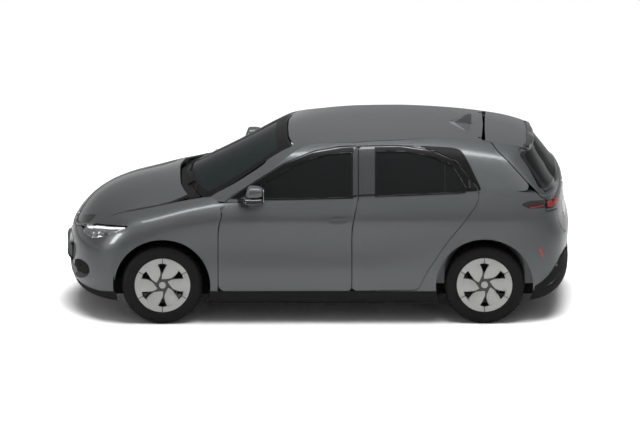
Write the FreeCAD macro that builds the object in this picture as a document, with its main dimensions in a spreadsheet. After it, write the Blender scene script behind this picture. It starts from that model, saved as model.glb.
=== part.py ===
import FreeCAD
import Part
import math
import os
from FreeCAD import Vector

# Hatchback car, nose towards -X, left side towards -Y, wheels on the plane Z = 0.

doc = FreeCAD.newDocument("hatchback")
sheet = doc.addObject("Spreadsheet::Sheet", "sizes")

# Driving sizes in millimetres, angles in degrees.
driving = [
    ("wheelbase", 2770),
    ("front_overhang", 805),
    ("rear_overhang", 722),
    ("half_width", 905),
    ("tyre_radius", 347),
    ("tyre_width", 215),
    ("rim_radius", 229),
    ("cover_radius", 246),
    ("front_track", 1537),
    ("rear_track", 1515),
    ("arch_radius", 412),
    ("shut_gap", 7),
    ("seat_gap", 0.3),
    ("skin_depth", 8),
    ("door_depth", 100),
    ("frame_depth", 58),
    ("rabbet", 45),
    ("pocket_gap", 13),
    ("hinge_setback", 40),
    ("hinge_inset", 20),
    ("hinge_pin_radius", 5),
    ("hinge_pocket", 63),
    ("swing_gap", 5),
    ("liner_gap", 6),
    ("liner_thickness", 8),
    ("glass_thickness", 5),
    ("roof_skin", 12),
    ("bonnet_depth", 26),
    ("bumper_depth", 34),
    ("battery_length", 1780),
    ("battery_width", 1290),
    ("battery_height", 118),
    ("battery_base", 168),
    ("floor_thickness", 12),
    ("axle_stub_radius", 22),
    ("disc_radius", 150),
    ("disc_thickness", 22),
    ("kingpin_low_y", 712),
    ("kingpin_low_z", 215),
    ("kingpin_top_y", 560),
    ("kingpin_top_z", 880),
    ("strut_radius", 20),
    ("steering_wheel_radius", 180),
    ("motor_radius", 104),
    ("motor_length", 420),
]
for number, (word, value) in enumerate(driving, start=1):
    sheet.set("A%d" % number, word)
    sheet.set("B%d" % number, str(value))
    sheet.setAlias("B%d" % number, word)
doc.recompute()
size = {}
for word, value in driving:
    size[word] = float(getattr(sheet, word))

length = size["wheelbase"] + size["front_overhang"] + size["rear_overhang"]
nose = -length / 2
tail = length / 2
front_axle = nose + size["front_overhang"]
rear_axle = front_axle + size["wheelbase"]
wide = size["half_width"]
gap = size["shut_gap"]
seam = size["seat_gap"]
hub_z = size["tyre_radius"]

done = []


# Helpers for freeform skins.
def knots(count):
    spans = count - 3
    return [4] + [1] * (spans - 1) + [4], [float(i) for i in range(spans + 1)]


def skin(grid):
    across_mults, across = knots(len(grid))
    along_mults, along = knots(len(grid[0]))
    result = Part.BSplineSurface()
    result.buildFromPolesMultsKnots(grid, across_mults, along_mults, across, along, False, False, 3, 3)
    return result


def sunk(grid, depth):
    result = []
    last_row = len(grid) - 1
    last_col = len(grid[0]) - 1
    for i, row in enumerate(grid):
        line = []
        for j, point in enumerate(row):
            below = grid[max(i - 1, 0)][j]
            above = grid[min(i + 1, last_row)][j]
            before = row[max(j - 1, 0)]
            after = row[min(j + 1, last_col)]
            inward = (above - below).cross(after - before)
            if abs(point.y) < 0.001:
                inward.y = 0
            inward.normalize()
            line.append(point + inward * depth)
        result.append(line)
    return result


def wall(grid, depth_one, depth_two):
    outer = skin(sunk(grid, depth_one))
    inner = skin(sunk(grid, depth_two))
    faces = [outer.toShape(), inner.toShape()]
    u_low, u_high, v_low, v_high = outer.bounds()
    for value in (u_low, u_high):
        faces.append(Part.makeRuledSurface(outer.uIso(value).toShape(), inner.uIso(value).toShape()))
    for value in (v_low, v_high):
        faces.append(Part.makeRuledSurface(outer.vIso(value).toShape(), inner.vIso(value).toShape()))
    shell = Part.makeShell(faces)
    shell.sewShape()
    solid = Part.Solid(shell)
    if solid.Volume < 0:
        solid.reverse()
    return solid


# Helpers for outlines: a list of corners, each with its own radius.
def area_sign(corners):
    total = 0
    for i in range(len(corners)):
        a = corners[i]
        b = corners[(i + 1) % len(corners)]
        total += a[0] * b[1] - b[0] * a[1]
    return 1 if total > 0 else -1


def grown(corners, distance):
    sign = area_sign(corners)
    count = len(corners)
    result = []
    for i in range(count):
        a = corners[i - 1]
        b = corners[i]
        c = corners[(i + 1) % count]
        in_x, in_y = b[0] - a[0], b[1] - a[1]
        out_x, out_y = c[0] - b[0], c[1] - b[1]
        in_len = math.hypot(in_x, in_y)
        out_len = math.hypot(out_x, out_y)
        in_x, in_y = in_x / in_len, in_y / in_len
        out_x, out_y = out_x / out_len, out_y / out_len
        n1 = (in_y * sign, -in_x * sign)
        n2 = (out_y * sign, -out_x * sign)
        scale = distance / (1 + n1[0] * n2[0] + n1[1] * n2[1])
        turn = (in_x * out_y - in_y * out_x) * sign
        radius = b[2] + distance if turn > 0 else b[2] - distance
        if b[2] == 0:
            radius = 0
        result.append((b[0] + (n1[0] + n2[0]) * scale, b[1] + (n1[1] + n2[1]) * scale, max(radius, 0)))
    return result


def outline(corners, lift):
    count = len(corners)
    cuts = []
    for i in range(count):
        a = corners[i - 1]
        b = corners[i]
        c = corners[(i + 1) % count]
        ax, ay = a[0] - b[0], a[1] - b[1]
        cx, cy = c[0] - b[0], c[1] - b[1]
        la = math.hypot(ax, ay)
        lc = math.hypot(cx, cy)
        ax, ay, cx, cy = ax / la, ay / la, cx / lc, cy / lc
        half = math.acos(max(-1, min(1, ax * cx + ay * cy))) / 2
        radius = b[2]
        if radius < 0.01 or half > math.pi / 2 - 0.002:
            cuts.append(((b[0], b[1]), None, (b[0], b[1])))
            continue
        reach = min(radius / math.tan(half), la * 0.49, lc * 0.49)
        radius = reach * math.tan(half)
        bx, by = ax + cx, ay + cy
        lb = math.hypot(bx, by)
        bx, by = bx / lb, by / lb
        far = radius / math.sin(half) - radius
        cuts.append(((b[0] + ax * reach, b[1] + ay * reach),
                     (b[0] + bx * far, b[1] + by * far),
                     (b[0] + cx * reach, b[1] + cy * reach)))
    edges = []
    for i in range(count):
        start, middle, end = cuts[i]
        if middle is not None:
            edges.append(Part.Arc(lift(*start), lift(*middle), lift(*end)).toShape())
        following = cuts[(i + 1) % count][0]
        if math.hypot(following[0] - end[0], following[1] - end[1]) > 0.0001:
            edges.append(Part.makeLine(lift(*end), lift(*following)))
    return Part.Face(Part.Wire(edges))


def side_prism(corners, y_low, y_high):
    face = outline(corners, lambda a, b: Vector(a, y_low, b))
    return face.extrude(Vector(0, y_high - y_low, 0))


def plan_prism(corners, z_low, z_high):
    face = outline(corners, lambda a, b: Vector(a, b, z_low))
    return face.extrude(Vector(0, 0, z_high - z_low))


def front_prism(corners, x_low, x_high):
    face = outline(corners, lambda a, b: Vector(x_low, a, b))
    return face.extrude(Vector(x_high - x_low, 0, 0))


def block(x_low, x_high, y_low, y_high, z_low, z_high):
    return Part.makeBox(x_high - x_low, y_high - y_low, z_high - z_low, Vector(x_low, y_low, z_low))


def tube_along(start, end, radius):
    direction = end - start
    return Part.makeCylinder(radius, direction.Length, start, direction)


def mirrored(shape):
    return shape.mirror(Vector(0, 0, 0), Vector(0, 1, 0))


def joined(shapes):
    result = shapes[0].fuse(shapes[1:])
    return result


def rounded_edges(shape, radius, test):
    edges = [edge for edge in shape.Edges if test(edge)]
    try:
        result = shape.makeFillet(radius, edges)
        if result.isValid():
            return result
    except Exception:
        pass
    return shape


def node(name, shape):
    solids = shape.Solids
    largest = max(solid.Volume for solid in solids)
    kept = [solid for solid in solids if solid.Volume > max(largest * 0.002, 400)]
    if len(kept) == 1:
        shape = kept[0]
    else:
        shape = Part.makeCompound(kept)
    feature = doc.addObject("Part::Feature", name)
    feature.Label = name
    feature.Shape = shape
    done.append(feature)
    return feature


# Lower body skin: rows climb from the sill, columns run from the nose round the left side to the tail.
# Each station gives x, y and the inward direction in plan.
stations = [
    (nose + 17, 0, 1.00, 0.00),
    (nose + 17, 160, 1.00, 0.00),
    (nose + 50, 390, 0.97, 0.24),
    (nose + 135, 600, 0.82, 0.57),
    (nose + 275, 790, 0.52, 0.854),
    (nose + 480, wide - 14, 0.18, 0.984),
    (nose + 780, wide - 2, 0.00, 1.00),
    (nose + 1150, wide - 6, 0.00, 1.00),
    (nose + 1600, wide - 7, 0.00, 1.00),
    (nose + 2100, wide - 6, 0.00, 1.00),
    (nose + 2600, wide - 4, 0.00, 1.00),
    (nose + 3100, wide, 0.00, 1.00),
    (nose + 3550, wide, 0.00, 1.00),
    (nose + 3850, wide - 12, -0.12, 0.99),
    (nose + 4080, 850, -0.50, 0.87),
    (nose + 4220, 710, -0.85, 0.52),
    (nose + 4280, 480, -0.98, 0.20),
    (tail, 200, -1.00, 0.00),
    (tail, 0, -1.00, 0.00),
]
# Section shapes: height and inset of each row.
nose_rows = [(188, 70), (205, 40), (260, 10), (380, 0), (480, 0), (570, 3), (650, 14), (706, 38),
             (760, 72), (815, 115), (870, 165), (925, 235)]
cheek_rows = [(188, 70), (205, 40), (260, 10), (380, 0), (480, 0), (570, 4), (640, 16), (695, 42),
              (745, 82), (792, 132), (840, 190), (885, 255)]
edge_rows = [(188, 70), (205, 40), (262, 10), (380, 0), (480, 0), (570, 6), (650, 20), (720, 50),
             (775, 90), (825, 145), (870, 200), (905, 260)]
corner_rows = [(190, 70), (208, 42), (265, 12), (380, 0), (480, 3), (580, 10), (670, 26), (745, 56),
               (800, 95), (840, 135), (876, 188), (910, 258)]
wing_rows = [(190, 70), (208, 42), (265, 12), (400, 0), (520, 0), (640, 4), (740, 10), (800, 24),
             (852, 58), (890, 104), (920, 172), (940, 256)]
fender_rows = [(190, 70), (210, 42), (290, 12), (420, 2), (540, 0), (650, 4), (760, 4), (850, 8),
               (905, 24), (952, 74), (982, 150), (1000, 240)]
post_rows = [(180, 72), (205, 42), (290, 12), (420, 2), (500, 0), (620, 12), (760, 14), (890, 4),
             (980, 16), (1046, 48), (1074, 110), (1084, 230)]
door_rows = [(178, 74), (205, 42), (290, 12), (410, 2), (500, 0), (620, 14), (770, 16), (900, 2),
             (945, 3), (1005, 22), (1085, 52), (1165, 85)]
quarter_rows = [(185, 74), (210, 42), (300, 12), (430, 2), (560, 0), (680, 4), (800, 6), (905, 2),
                (960, 4), (1040, 24), (1130, 56), (1220, 96)]
bend_rows = [(200, 90), (225, 55), (300, 18), (420, 4), (540, 0), (660, 4), (780, 14), (880, 22),
             (960, 28), (1040, 44), (1120, 66), (1200, 96)]
turn_rows = [(205, 105), (230, 64), (288, 16), (400, 2), (520, 8), (620, 2), (700, 2), (780, 18),
             (880, 38), (1000, 46), (1080, 62), (1140, 96)]
rear_rows = [(205, 110), (230, 66), (285, 12), (370, 0), (500, 15), (620, 0), (690, 0), (760, 14),
             (850, 50), (1000, 48), (1075, 62), (1108, 104)]
sections = [nose_rows, nose_rows, cheek_rows, edge_rows, corner_rows, wing_rows, fender_rows,
            post_rows, door_rows, door_rows, door_rows, quarter_rows, quarter_rows, quarter_rows,
            bend_rows, turn_rows, rear_rows, rear_rows, rear_rows]
body_grid = []
for i in range(12):
    row = []
    for (x, y, nx, ny), rows in zip(stations, sections):
        height, inset = rows[i]
        row.append(Vector(x + nx * inset, -(y - ny * inset), height))
    body_grid.append(row)

# Cabin side skin: rows climb from below the windows to the roof, columns run from the windscreen's
# foot round the left side to the middle of the rear window.
house_stations = [
    (-1300, [(1180, 742), (1300, 700), (1400, 660), (1460, 610), (1500, 560), (1530, 500)]),
    (-1050, [(1180, 768), (1300, 722), (1400, 680), (1460, 630), (1500, 570), (1530, 510)]),
    (-700, [(1180, 802), (1300, 752), (1400, 706), (1460, 650), (1500, 580), (1530, 510)]),
    (-300, [(1180, 808), (1300, 760), (1400, 716), (1455, 672), (1498, 560), (1520, 460)]),
    (200, [(1190, 811), (1300, 767), (1410, 722), (1490, 686), (1545, 612), (1568, 510)]),
    (700, [(1200, 813), (1300, 771), (1410, 724), (1500, 680), (1558, 588), (1582, 480)]),
    (1150, [(1215, 810), (1305, 768), (1400, 720), (1480, 674), (1548, 560), (1574, 450)]),
    (1500, [(1230, 796), (1310, 756), (1395, 705), (1457, 652), (1506, 528), (1526, 430)]),
]
house_tail = [
    [(1735, 812, 1165), (1700, 778, 1235), (1655, 738, 1310), (1605, 690, 1395), (1585, 628, 1452),
        (1580, 510, 1496), (1575, 410, 1516)],
    [(1862, 755, 1165), (1824, 716, 1235), (1770, 670, 1310), (1706, 616, 1395), (1692, 570, 1437),
        (1690, 495, 1470), (1688, 410, 1492)],
    [(1950, 622, 1165), (1908, 588, 1235), (1852, 549, 1310), (1784, 500, 1395), (1776, 455, 1430),
        (1768, 400, 1454), (1755, 330, 1478)],
    [(1998, 432, 1165), (1950, 408, 1235), (1898, 380, 1310), (1842, 346, 1395), (1815, 325, 1432),
        (1795, 300, 1462), (1770, 270, 1492)],
    [(2010, 208, 1165), (1966, 197, 1235), (1912, 184, 1310), (1858, 168, 1395), (1830, 160, 1434),
        (1800, 150, 1470), (1770, 140, 1502)],
    [(2014, 0, 1165), (1970, 0, 1235), (1916, 0, 1310), (1862, 0, 1395), (1834, 0, 1435), (1804, 0, 1472),
        (1772, 0, 1506)],
]
tail_feet = [(2048, 445, 1100), (2060, 215, 1100), (2062, 0, 1100)]

# The belt line, in side view, where the lower skin hands over to the cabin skin.
belt = [(-1300, 1110), (-1010, 1100), (-797, 1074), (1215, 1154), (1700, 1170), (1860, 1146),
    (1950, 1104), (2400, 1100)]


def belt_z(x):
    for (x1, z1), (x2, z2) in zip(belt, belt[1:]):
        if x <= x2:
            return z1 + (z2 - z1) * (x - x1) / (x2 - x1)
    return belt[-1][1]


lower_skin = skin(body_grid).toShape()


def side_point(x, z):
    # Point on the lower skin at a given station and height, found by a ray from the left.
    line = Part.makeLine(Vector(x, -1100, z), Vector(x, -500, z))
    return lower_skin.distToShape(line)[1][0][0]


def rear_point(y, z):
    # Point on the lower skin at a given width and height, found by a ray from behind.
    line = Part.makeLine(Vector(2400, -y, z), Vector(1500, -y, z))
    return lower_skin.distToShape(line)[1][0][0]


house_columns = []
for x, rows in house_stations:
    edge_z = belt_z(max(x, -797))
    if x < -797:
        foot = Vector(x, -rows[0][1] - 46, 1062)
        step = Vector(x, -rows[0][1] - 22, 1118)
    else:
        base = side_point(x, edge_z - 6)
        under = side_point(x, edge_z - 46)
        foot = Vector(x, base.y, edge_z - 6)
        step = Vector(x, base.y + (base.y - under.y) * 1.2, edge_z + 42)
    house_columns.append([foot, step] + [Vector(x, -half, height) for height, half in rows])
flank = side_point(1750, belt_z(1750) - 6)
rows_here = [Vector(x, -half, height) for x, half, height in house_tail[0]]
house_columns.append([flank] + rows_here)
turn = rear_point(790, belt_z(1880) - 10)
rows_here = [Vector(x, -half, height) for x, half, height in house_tail[1]]
house_columns.append([turn] + rows_here)
rows_here = [Vector(x, -half, height) for x, half, height in house_tail[2]]
house_columns.append([rear_point(645, 1094)] + rows_here)
for (x, half, height), column in zip(tail_feet, house_tail[3:]):
    rows_here = [Vector(a, -b, c) for a, b, c in column]
    house_columns.append([Vector(x, -half, height)] + rows_here)
house_grid = []
for i in range(8):
    house_grid.append([column[i] for column in house_columns])

# Top skin: rows run across from left to right, columns from the windscreen's foot to the spoiler's end.
top_columns = [
    (-1300, 1039, 150, 28),
    (-1160, 1105, 135, 28),
    (-900, 1230, 110, 39),
    (-620, 1366, 85, 42),
    (-380, 1483, 65, 33),
    (-180, 1541, 45, 30),
    (80, 1559, 25, 20),
    (450, 1571, 10, 15),
    (850, 1579, 0, 15),
    (1200, 1568, 0, 18),
    (1500, 1531, 0, 24),
    (1720, 1494, 0, 24),
    (1880, 1424, 0, 24),
]
spread = [(-800, 1.75, 1.9), (-640, 1.1, 1.15), (-430, 0.5, 0.48), (-200, 0.1, 0.06), (0, 0.0, 0.0),
          (200, 0.1, 0.06), (430, 0.5, 0.48), (640, 1.1, 1.15), (800, 1.75, 1.9)]
top_grid = []
for y, back, drop in spread:
    row = []
    for x, height, sweep, crown in top_columns:
        row.append(Vector(x + sweep * back, y, height - crown * drop))
    top_grid.append(row)


# Bonnet skin: each column gives its middle point and its edge point; rows run across.
bonnet_columns = [
    ((-2110, 679), (-1992, 420, 768)),
    ((-2070, 748), (-1952, 462, 793)),
    ((-2010, 826), (-1897, 508, 826)),
    ((-1930, 906), (-1817, 556, 870)),
    ((-1810, 978), (-1717, 597, 918)),
    ((-1650, 1038), (-1582, 628, 962)),
    ((-1460, 1081), (-1422, 655, 994)),
    ((-1270, 1104), (-1252, 660, 1034)),
    ((-1090, 1122), (-1082, 640, 1094)),
]
bonnet_spread = [(-1.32, 1.60), (-1.0, 0.963), (-0.67, 0.412), (-0.33, 0.072), (0, -0.037),
                 (0.33, 0.072), (0.67, 0.412), (1.0, 0.963), (1.32, 1.60)]
bonnet_grid = []
for across, share in bonnet_spread:
    row = []
    for (x, height), (edge_x, edge_y, edge_z) in bonnet_columns:
        row.append(Vector(x + (edge_x - x) * share, edge_y * across, height + (edge_z - height) * share))
    bonnet_grid.append(row)


walls = {}


def body_wall(depth_one, depth_two):
    key = ("body", depth_one, depth_two)
    if key not in walls:
        walls[key] = wall(body_grid, depth_one, depth_two)
    return walls[key]


def house_wall(depth_one, depth_two):
    key = ("house", depth_one, depth_two)
    if key not in walls:
        walls[key] = wall(house_grid, depth_one, depth_two)
    return walls[key]


def top_wall(depth_one, depth_two):
    key = ("top", depth_one, depth_two)
    if key not in walls:
        walls[key] = wall(top_grid, depth_one, depth_two)
    return walls[key]


def bonnet_wall(depth_one, depth_two):
    key = ("bonnet", depth_one, depth_two)
    if key not in walls:
        walls[key] = wall(bonnet_grid, depth_one, depth_two)
    return walls[key]


# Side view outlines (x, z, corner radius) of the left side.
below_belt = [(x, z, 0) for x, z in belt] + [(2400, 0, 0), (-2400, 0, 0), (-2400, 1110, 0)]
above_belt = [(x, z, 0) for x, z in belt] + [(2400, 1800, 0), (-2400, 1800, 0), (-2400, 1110, 0)]

front_door_outline = [
    (-862, 300, 60), (-862, 860, 600), (-806, 1074, 60), (-560, 1236, 300), (-300, 1390, 500),
    (-60, 1478, 700), (200, 1516, 900), (338, 1519, 12), (338, 1120, 300), (282, 860, 900),
    (282, 303, 40),
]
rear_door_outline = [
    (282 + gap, 303, 40), (282 + gap, 860, 900), (338 + gap, 1120, 300), (338 + gap, 1519, 12),
    (700, 1524, 1200), (980, 1490, 700), (1180, 1412, 400), (1372, 1200, 60), (1372, 1090, 120),
    (1215, 880, 300), (1095, 730, 500), (930, 480, 500), (850, 314, 40),
]
front_glass_outline = [
    (-690, 1098, 20), (-400, 1274, 400), (-160, 1400, 400), (60, 1462, 500), (296, 1482, 25),
    (296, 1116, 12),
]
rear_glass_outline = [
    (486, 1126, 12), (486, 1487, 20), (760, 1486, 800), (980, 1448, 500), (1150, 1378, 160),
    (1276, 1186, 30), (1258, 1160, 12),
]

left_reach = -1000
inner_reach = -380

# Doors.
door_box_depth = size["door_depth"]
skin_depth = size["skin_depth"]
frame_depth = 32


def door_parts(corners, glass):
    lower = body_wall(0, skin_depth).common(side_prism(corners, left_reach, inner_reach))
    lower = lower.common(side_prism(below_belt, left_reach, inner_reach))
    upper = house_wall(0, frame_depth).common(side_prism(corners, left_reach, inner_reach))
    upper = upper.common(side_prism(above_belt, left_reach, inner_reach))
    box = body_wall(skin_depth - 1, door_box_depth).common(
        side_prism(grown(corners, -size["rabbet"]), left_reach, inner_reach))
    box = box.common(side_prism(below_belt, left_reach, inner_reach))
    shape = joined([lower, upper, box])
    shape = shape.cut(side_prism(grown(glass, seam), left_reach, inner_reach))
    pane = house_wall(9, 9 + size["glass_thickness"]).common(side_prism(glass, left_reach, inner_reach))
    return shape, pane


# Hinge axes stand upright, set in from the skin.
hinge_levels = (430, 800)
front_hinge_x = front_door_outline[0][0] + size["hinge_setback"]
rear_hinge_x = rear_door_outline[0][0] + size["hinge_setback"]


def deepest_skin(x):
    return max(side_point(x, z).y for z in range(360, 900, 60))


front_axis = Vector(front_hinge_x, deepest_skin(front_hinge_x) + size["hinge_inset"], 0)
rear_axis = Vector(rear_hinge_x, deepest_skin(rear_hinge_x) + size["hinge_inset"], 0)


def hinge_set(axis, pocket_top):
    # Notches and lugs with pins for the door, leaves and one tall pocket for the pillar.
    pin_radius = size["hinge_pin_radius"]
    notches = []
    pins = []
    leaves = []
    for level in hinge_levels:
        notches.append(block(axis.x - 60, axis.x + 17, axis.y - 15, axis.y + 20, level - 30, level + 30))
        for low, high in ((level - 38, level - 29), (level + 29, level + 38)):
            pins.append(block(axis.x - 11, axis.x + 18, axis.y - 19, axis.y + 12, low, high))
        pins.append(Part.makeCylinder(pin_radius, 64, Vector(axis.x, axis.y, level - 32), Vector(0, 0, 1)))
        eye = Part.makeCylinder(pin_radius + 4.5, 46, Vector(axis.x, axis.y, level - 23), Vector(0, 0, 1))
        arm = block(axis.x - 12, axis.x - 1, axis.y, axis.y + 84, level - 23, level + 23)
        foot = block(axis.x - 46, axis.x - 1, axis.y + 58, axis.y + 84, level - 23, level + 23)
        hole = Part.makeCylinder(pin_radius + seam, 70, Vector(axis.x, axis.y, level - 35), Vector(0, 0, 1))
        leaves.append(joined([eye, arm, foot]).cut(hole))
    pocket_foot = 290
    pocket = Part.makeCylinder(size["hinge_pocket"], pocket_top - pocket_foot,
        Vector(axis.x, axis.y, pocket_foot), Vector(0, 0, 1))
    return notches, pins, leaves, pocket


def swing_room(axis, leading):
    # Room that a door's leading edge sweeps about its hinge, with the running gap added.
    points = [Vector(axis.x, axis.y, 290)]
    for z in [290] + list(range(320, 1060, 60)):
        reach = math.hypot(axis.x - leading(max(z, 310)), axis.y - side_point(axis.x,
            max(z, 310)).y) + size["swing_gap"]
        points.append(Vector(axis.x + reach, axis.y, z))
    points.append(Vector(axis.x, axis.y, points[-1].z))
    points.append(points[0])
    return Part.Face(Part.makePolygon(points)).revolve(Vector(axis.x, axis.y, 0), Vector(0, 0, 1), 360)


front_swing = swing_room(front_axis, lambda z: -862 if z < 860 else -862 + 56 * (z - 860) / 214)
rear_swing = swing_room(rear_axis, lambda z: 289 if z < 860 else 289 + 56 * (z - 860) / 260)
front_notches, front_pins, front_leaves, front_pocket = hinge_set(front_axis, 990)
rear_notches, rear_pins, rear_leaves, rear_pocket = hinge_set(rear_axis, 1040)

front_door, front_pane = door_parts(front_door_outline, front_glass_outline)
front_door = joined([front_door.cut(front_notches).cut(rear_swing)] + front_pins)
rear_door, rear_pane = door_parts(rear_door_outline, rear_glass_outline)
rear_door = joined([rear_door.cut(rear_notches)] + rear_pins)

node("front_door_left", front_door)
node("front_door_right", mirrored(front_door))
node("rear_door_left", rear_door)
node("rear_door_right", mirrored(rear_door))
node("front_door_glass_left", front_pane)
node("front_door_glass_right", mirrored(front_pane))
node("rear_door_glass_left", rear_pane)
node("rear_door_glass_right", mirrored(rear_pane))

# Roof, windscreen and the plan outlines they share (left half shown, mirrored in the list).
roof_half = [(-262, 0, 0), (-255, 300, 900), (-208, 500, 40), (80, 570, 900), (300, 586, 900),
    (700, 558, 900),
             (1043, 506, 900), (1300, 474, 600), (1400, 466, 15), (1412, 0, 0)]


def both_sides(half):
    left = [(x, -y, r) for x, y, r in half]
    right = [(x, y, r) for x, y, r in reversed(half) if y > 0]
    return left + right


roof_outline = both_sides(roof_half)
screen_half = [(-1132, 0, 0), (-1107, 300, 900), (-1030, 560, 600), (-960, 700, 25), (-228, 512, 25),
    (-268, 300, 900), (-274, 0, 0)]
screen_outline = both_sides(screen_half)

node("windscreen", top_wall(1, 1 + size["glass_thickness"]).common(plan_prism(screen_outline, 900, 1800)))

# Tailgate: spoiler over the rear window and the panel below it.
roof_end = 1412
gate_front_x = roof_end + gap
gate_axis = Vector(roof_end - 26, 0, 1509)
side_seam = [(1400, 1560, 0), (1440, 1545, 0), (1621, 1401, 60), (1846, 1169, 80), (1905, 1108, 60),
    (1950, 1080, 10), (1950, 700, 0)]
gate_side = side_seam + [(2400, 700, 0), (2400, 1800, 0), (1400, 1800, 0)]
gate_zone_half = [(-480, 717, 70), (-572, 800, 90), (-578, 935, 15), (-600, 962, 15), (-775, 982, 0),
    (-1000, 1004, 0), (-1000, 1800, 0)]
gate_zone = gate_zone_half + [(-y, z, r) for y, z, r in reversed(gate_zone_half)]

spoiler_outline = both_sides([(gate_front_x, 0, 0), (gate_front_x - 8, 466, 10), (1600, 468, 900),
    (1750, 440, 300), (1806, 392, 50), (1840, 230, 500), (1850, 0, 0)])
spoiler = top_wall(0, 24).common(plan_prism(spoiler_outline, 1200, 1800))
gate_region = side_prism(grown(gate_side, -gap), left_reach, 0)
gate_body = body_wall(0, 60).common(gate_region).common(side_prism(below_belt, left_reach, 0))
gate_body = gate_body.common(front_prism(gate_zone, 1700, 2400))
gate_house = house_wall(0, 40).common(gate_region).common(side_prism(above_belt, left_reach, 0))
gate_house = gate_house.cut(top_wall(-60, 0))
gate_half = joined([gate_body, gate_house])
rear_glass_half = [(-201, 1113, 900), (-327, 1119, 600), (-425, 1131, 400), (-490, 1134, 400),
    (-640, 1147, 300), (-698, 1166, 25),
                   (-645, 1255, 600), (-600, 1320, 600), (-566, 1370, 200), (-553, 1408, 60), (-480, 1438,
                       200), (-400, 1449, 200), (-250, 1440, 600)]
rear_glass_front = rear_glass_half + [(-y, z, r) for y, z, r in reversed(rear_glass_half)]
lamp_inner = [(-820, 1011, 4), (-820, 1084, 4), (-690, 1066, 100), (-520, 1050, 12), (-520, 986, 12),
    (-690, 990, 100)]
gate = joined([gate_half, mirrored(gate_half)])
gate = joined([gate, spoiler])
gate = gate.cut(front_prism(grown(rear_glass_front, seam), 1500, 2400).cut(top_wall(-60, 24)))
window_half = house_wall(2, 2 + size["glass_thickness"]).common(front_prism(rear_glass_front, 1500,
    2400)).common(block(1500, 2400, -900, 0, 1000, 1700))
window_half = window_half.cut(top_wall(-60, 24 + seam))
window = joined([window_half, mirrored(window_half)])
node("rear_window", window)
lamp_half = body_wall(0, 35).common(front_prism(lamp_inner, 1900, 2400)).common(gate_region)
lamp_cut = body_wall(-5, 35 + seam).common(front_prism(grown(lamp_inner, seam), 1900, 2400))
gate = gate.cut([lamp_cut, mirrored(lamp_cut)])
# The front edge turns about the hinge pins; two arms reach under the roof's end.
gate = gate.cut(tube_along(Vector(gate_axis.x, -700, gate_axis.z), Vector(gate_axis.x, 700, gate_axis.z), 51))
gate_arms = []
roof_slots = []
roof_eyes = []
for side in (-1, 1):
    middle = side * 400
    ends = [Vector(gate_axis.x, middle + shift, gate_axis.z) for shift in (-26, -8, 8, 26)]
    gate_arms.append(tube_along(ends[0], ends[3], size["hinge_pin_radius"]))
    gate_arms.append(tube_along(ends[1], ends[2], 9))
    gate_arms.append(block(gate_axis.x, gate_axis.x + 74, middle - 8, middle + 8, gate_axis.z - 12,
        gate_axis.z + 2))
    roof_slots.append(block(gate_axis.x - 16, roof_end + 20, middle - 14, middle + 14, 1400, 1700))
    for low, high in ((-25, -14), (14, 25)):
        cheek = block(gate_axis.x - 11, gate_axis.x + 11, middle + low, middle + high, gate_axis.z - 10, 1540)
        cheek = cheek.common(top_wall(4, 60))
        hole = tube_along(Vector(gate_axis.x, middle + low - 2, gate_axis.z),
            Vector(gate_axis.x, middle + high + 2, gate_axis.z), size["hinge_pin_radius"] + seam)
        roof_eyes.append(cheek.cut(hole))
gate = joined([gate] + gate_arms)
node("tailgate", gate)
node("tail_lamps_inner", Part.makeCompound([lamp_half, mirrored(lamp_half)]))
roof = top_wall(0, size["roof_skin"]).common(plan_prism(roof_outline, 1200, 1800))
fin_base = Part.makePolygon([Vector(x, y, 1556) for x, y in ((1078, 0), (1150, -17), (1312, -22),
    (1312, 22), (1150, 17), (1078, 0))])
fin_top = Part.makePolygon([Vector(x, y, 1634) for x, y in ((1262, 0), (1280, -5), (1312, -6), (1312, 6),
    (1280, 5), (1262, 0))])
fin = Part.makeLoft([fin_base, fin_top], True)
node("roof_panel", joined([roof.cut(roof_slots), fin] + roof_eyes))

# Side frame: everything of the side behind the front door's leading edge, with both doors let in.
door_outer_zone = skin_depth + gap
frame_low_region = [(-862, 300, 0), (-862, 860, 0), (-806, 1068, 0), (-797, 1074, 0), (1215, 1154, 0),
    (1700, 1172, 0),
                    (1846, 1169, 0), (1905, 1108, 60), (1950, 1080, 10), (1950, 980, 0), (1798, 991,
                        20), (1766, 934, 60),
                    (1731, 879, 100), (1710, 808, 200), (1640, 725, 0), (1426, 347, 0), (1100, 300, 0)]
inner_pillar_region = [(-930, 302, 0), (-854, 302, 0), (-854, 860, 0), (-800, 1060, 0), (-860, 1076, 0),
    (-930, 1040, 0)]
frame_high_region = [(-797, 1074, 0), (1215, 1154, 0), (1700, 1170, 0), (1846, 1169, 80),
    (1621, 1401, 60), (1440, 1545, 0),
                     (1400, 1560, 0), (1400, 1750, 0), (-250, 1650, 0), (-600, 1470, 0), (-1010, 1260,
                         0), (-1010, 1100, 0)]
region_low = side_prism(frame_low_region, left_reach, inner_reach)
region_high = side_prism(frame_high_region, left_reach, inner_reach)
arch = Part.makeCylinder(size["arch_radius"] + size["liner_gap"], 500, Vector(rear_axle, -1100, hub_z),
    Vector(0, 1, 0))
front_clear = Part.makeCylinder(size["arch_radius"] + size["liner_gap"] + size["liner_thickness"] + gap,
    700, Vector(front_axle, -1100, hub_z), Vector(0, 1, 0))
frame_low = body_wall(0, 110).common(region_low)
frame_low = frame_low.common(side_prism(below_belt, left_reach, inner_reach))
frame_low = frame_low.cut(arch).cut(front_clear)
inner_pillar = body_wall(12 + seam, 110).common(side_prism(inner_pillar_region, left_reach,
    inner_reach)).cut(front_clear)
frame_high = house_wall(0, size["frame_depth"]).common(region_high)
frame_high = frame_high.cut(top_wall(-300, 0))
pillar = top_wall(0, 40).common(region_high)
pillar = pillar.common(house_wall(0, 110))
frame = joined([frame_low, inner_pillar, frame_high, pillar])
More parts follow.
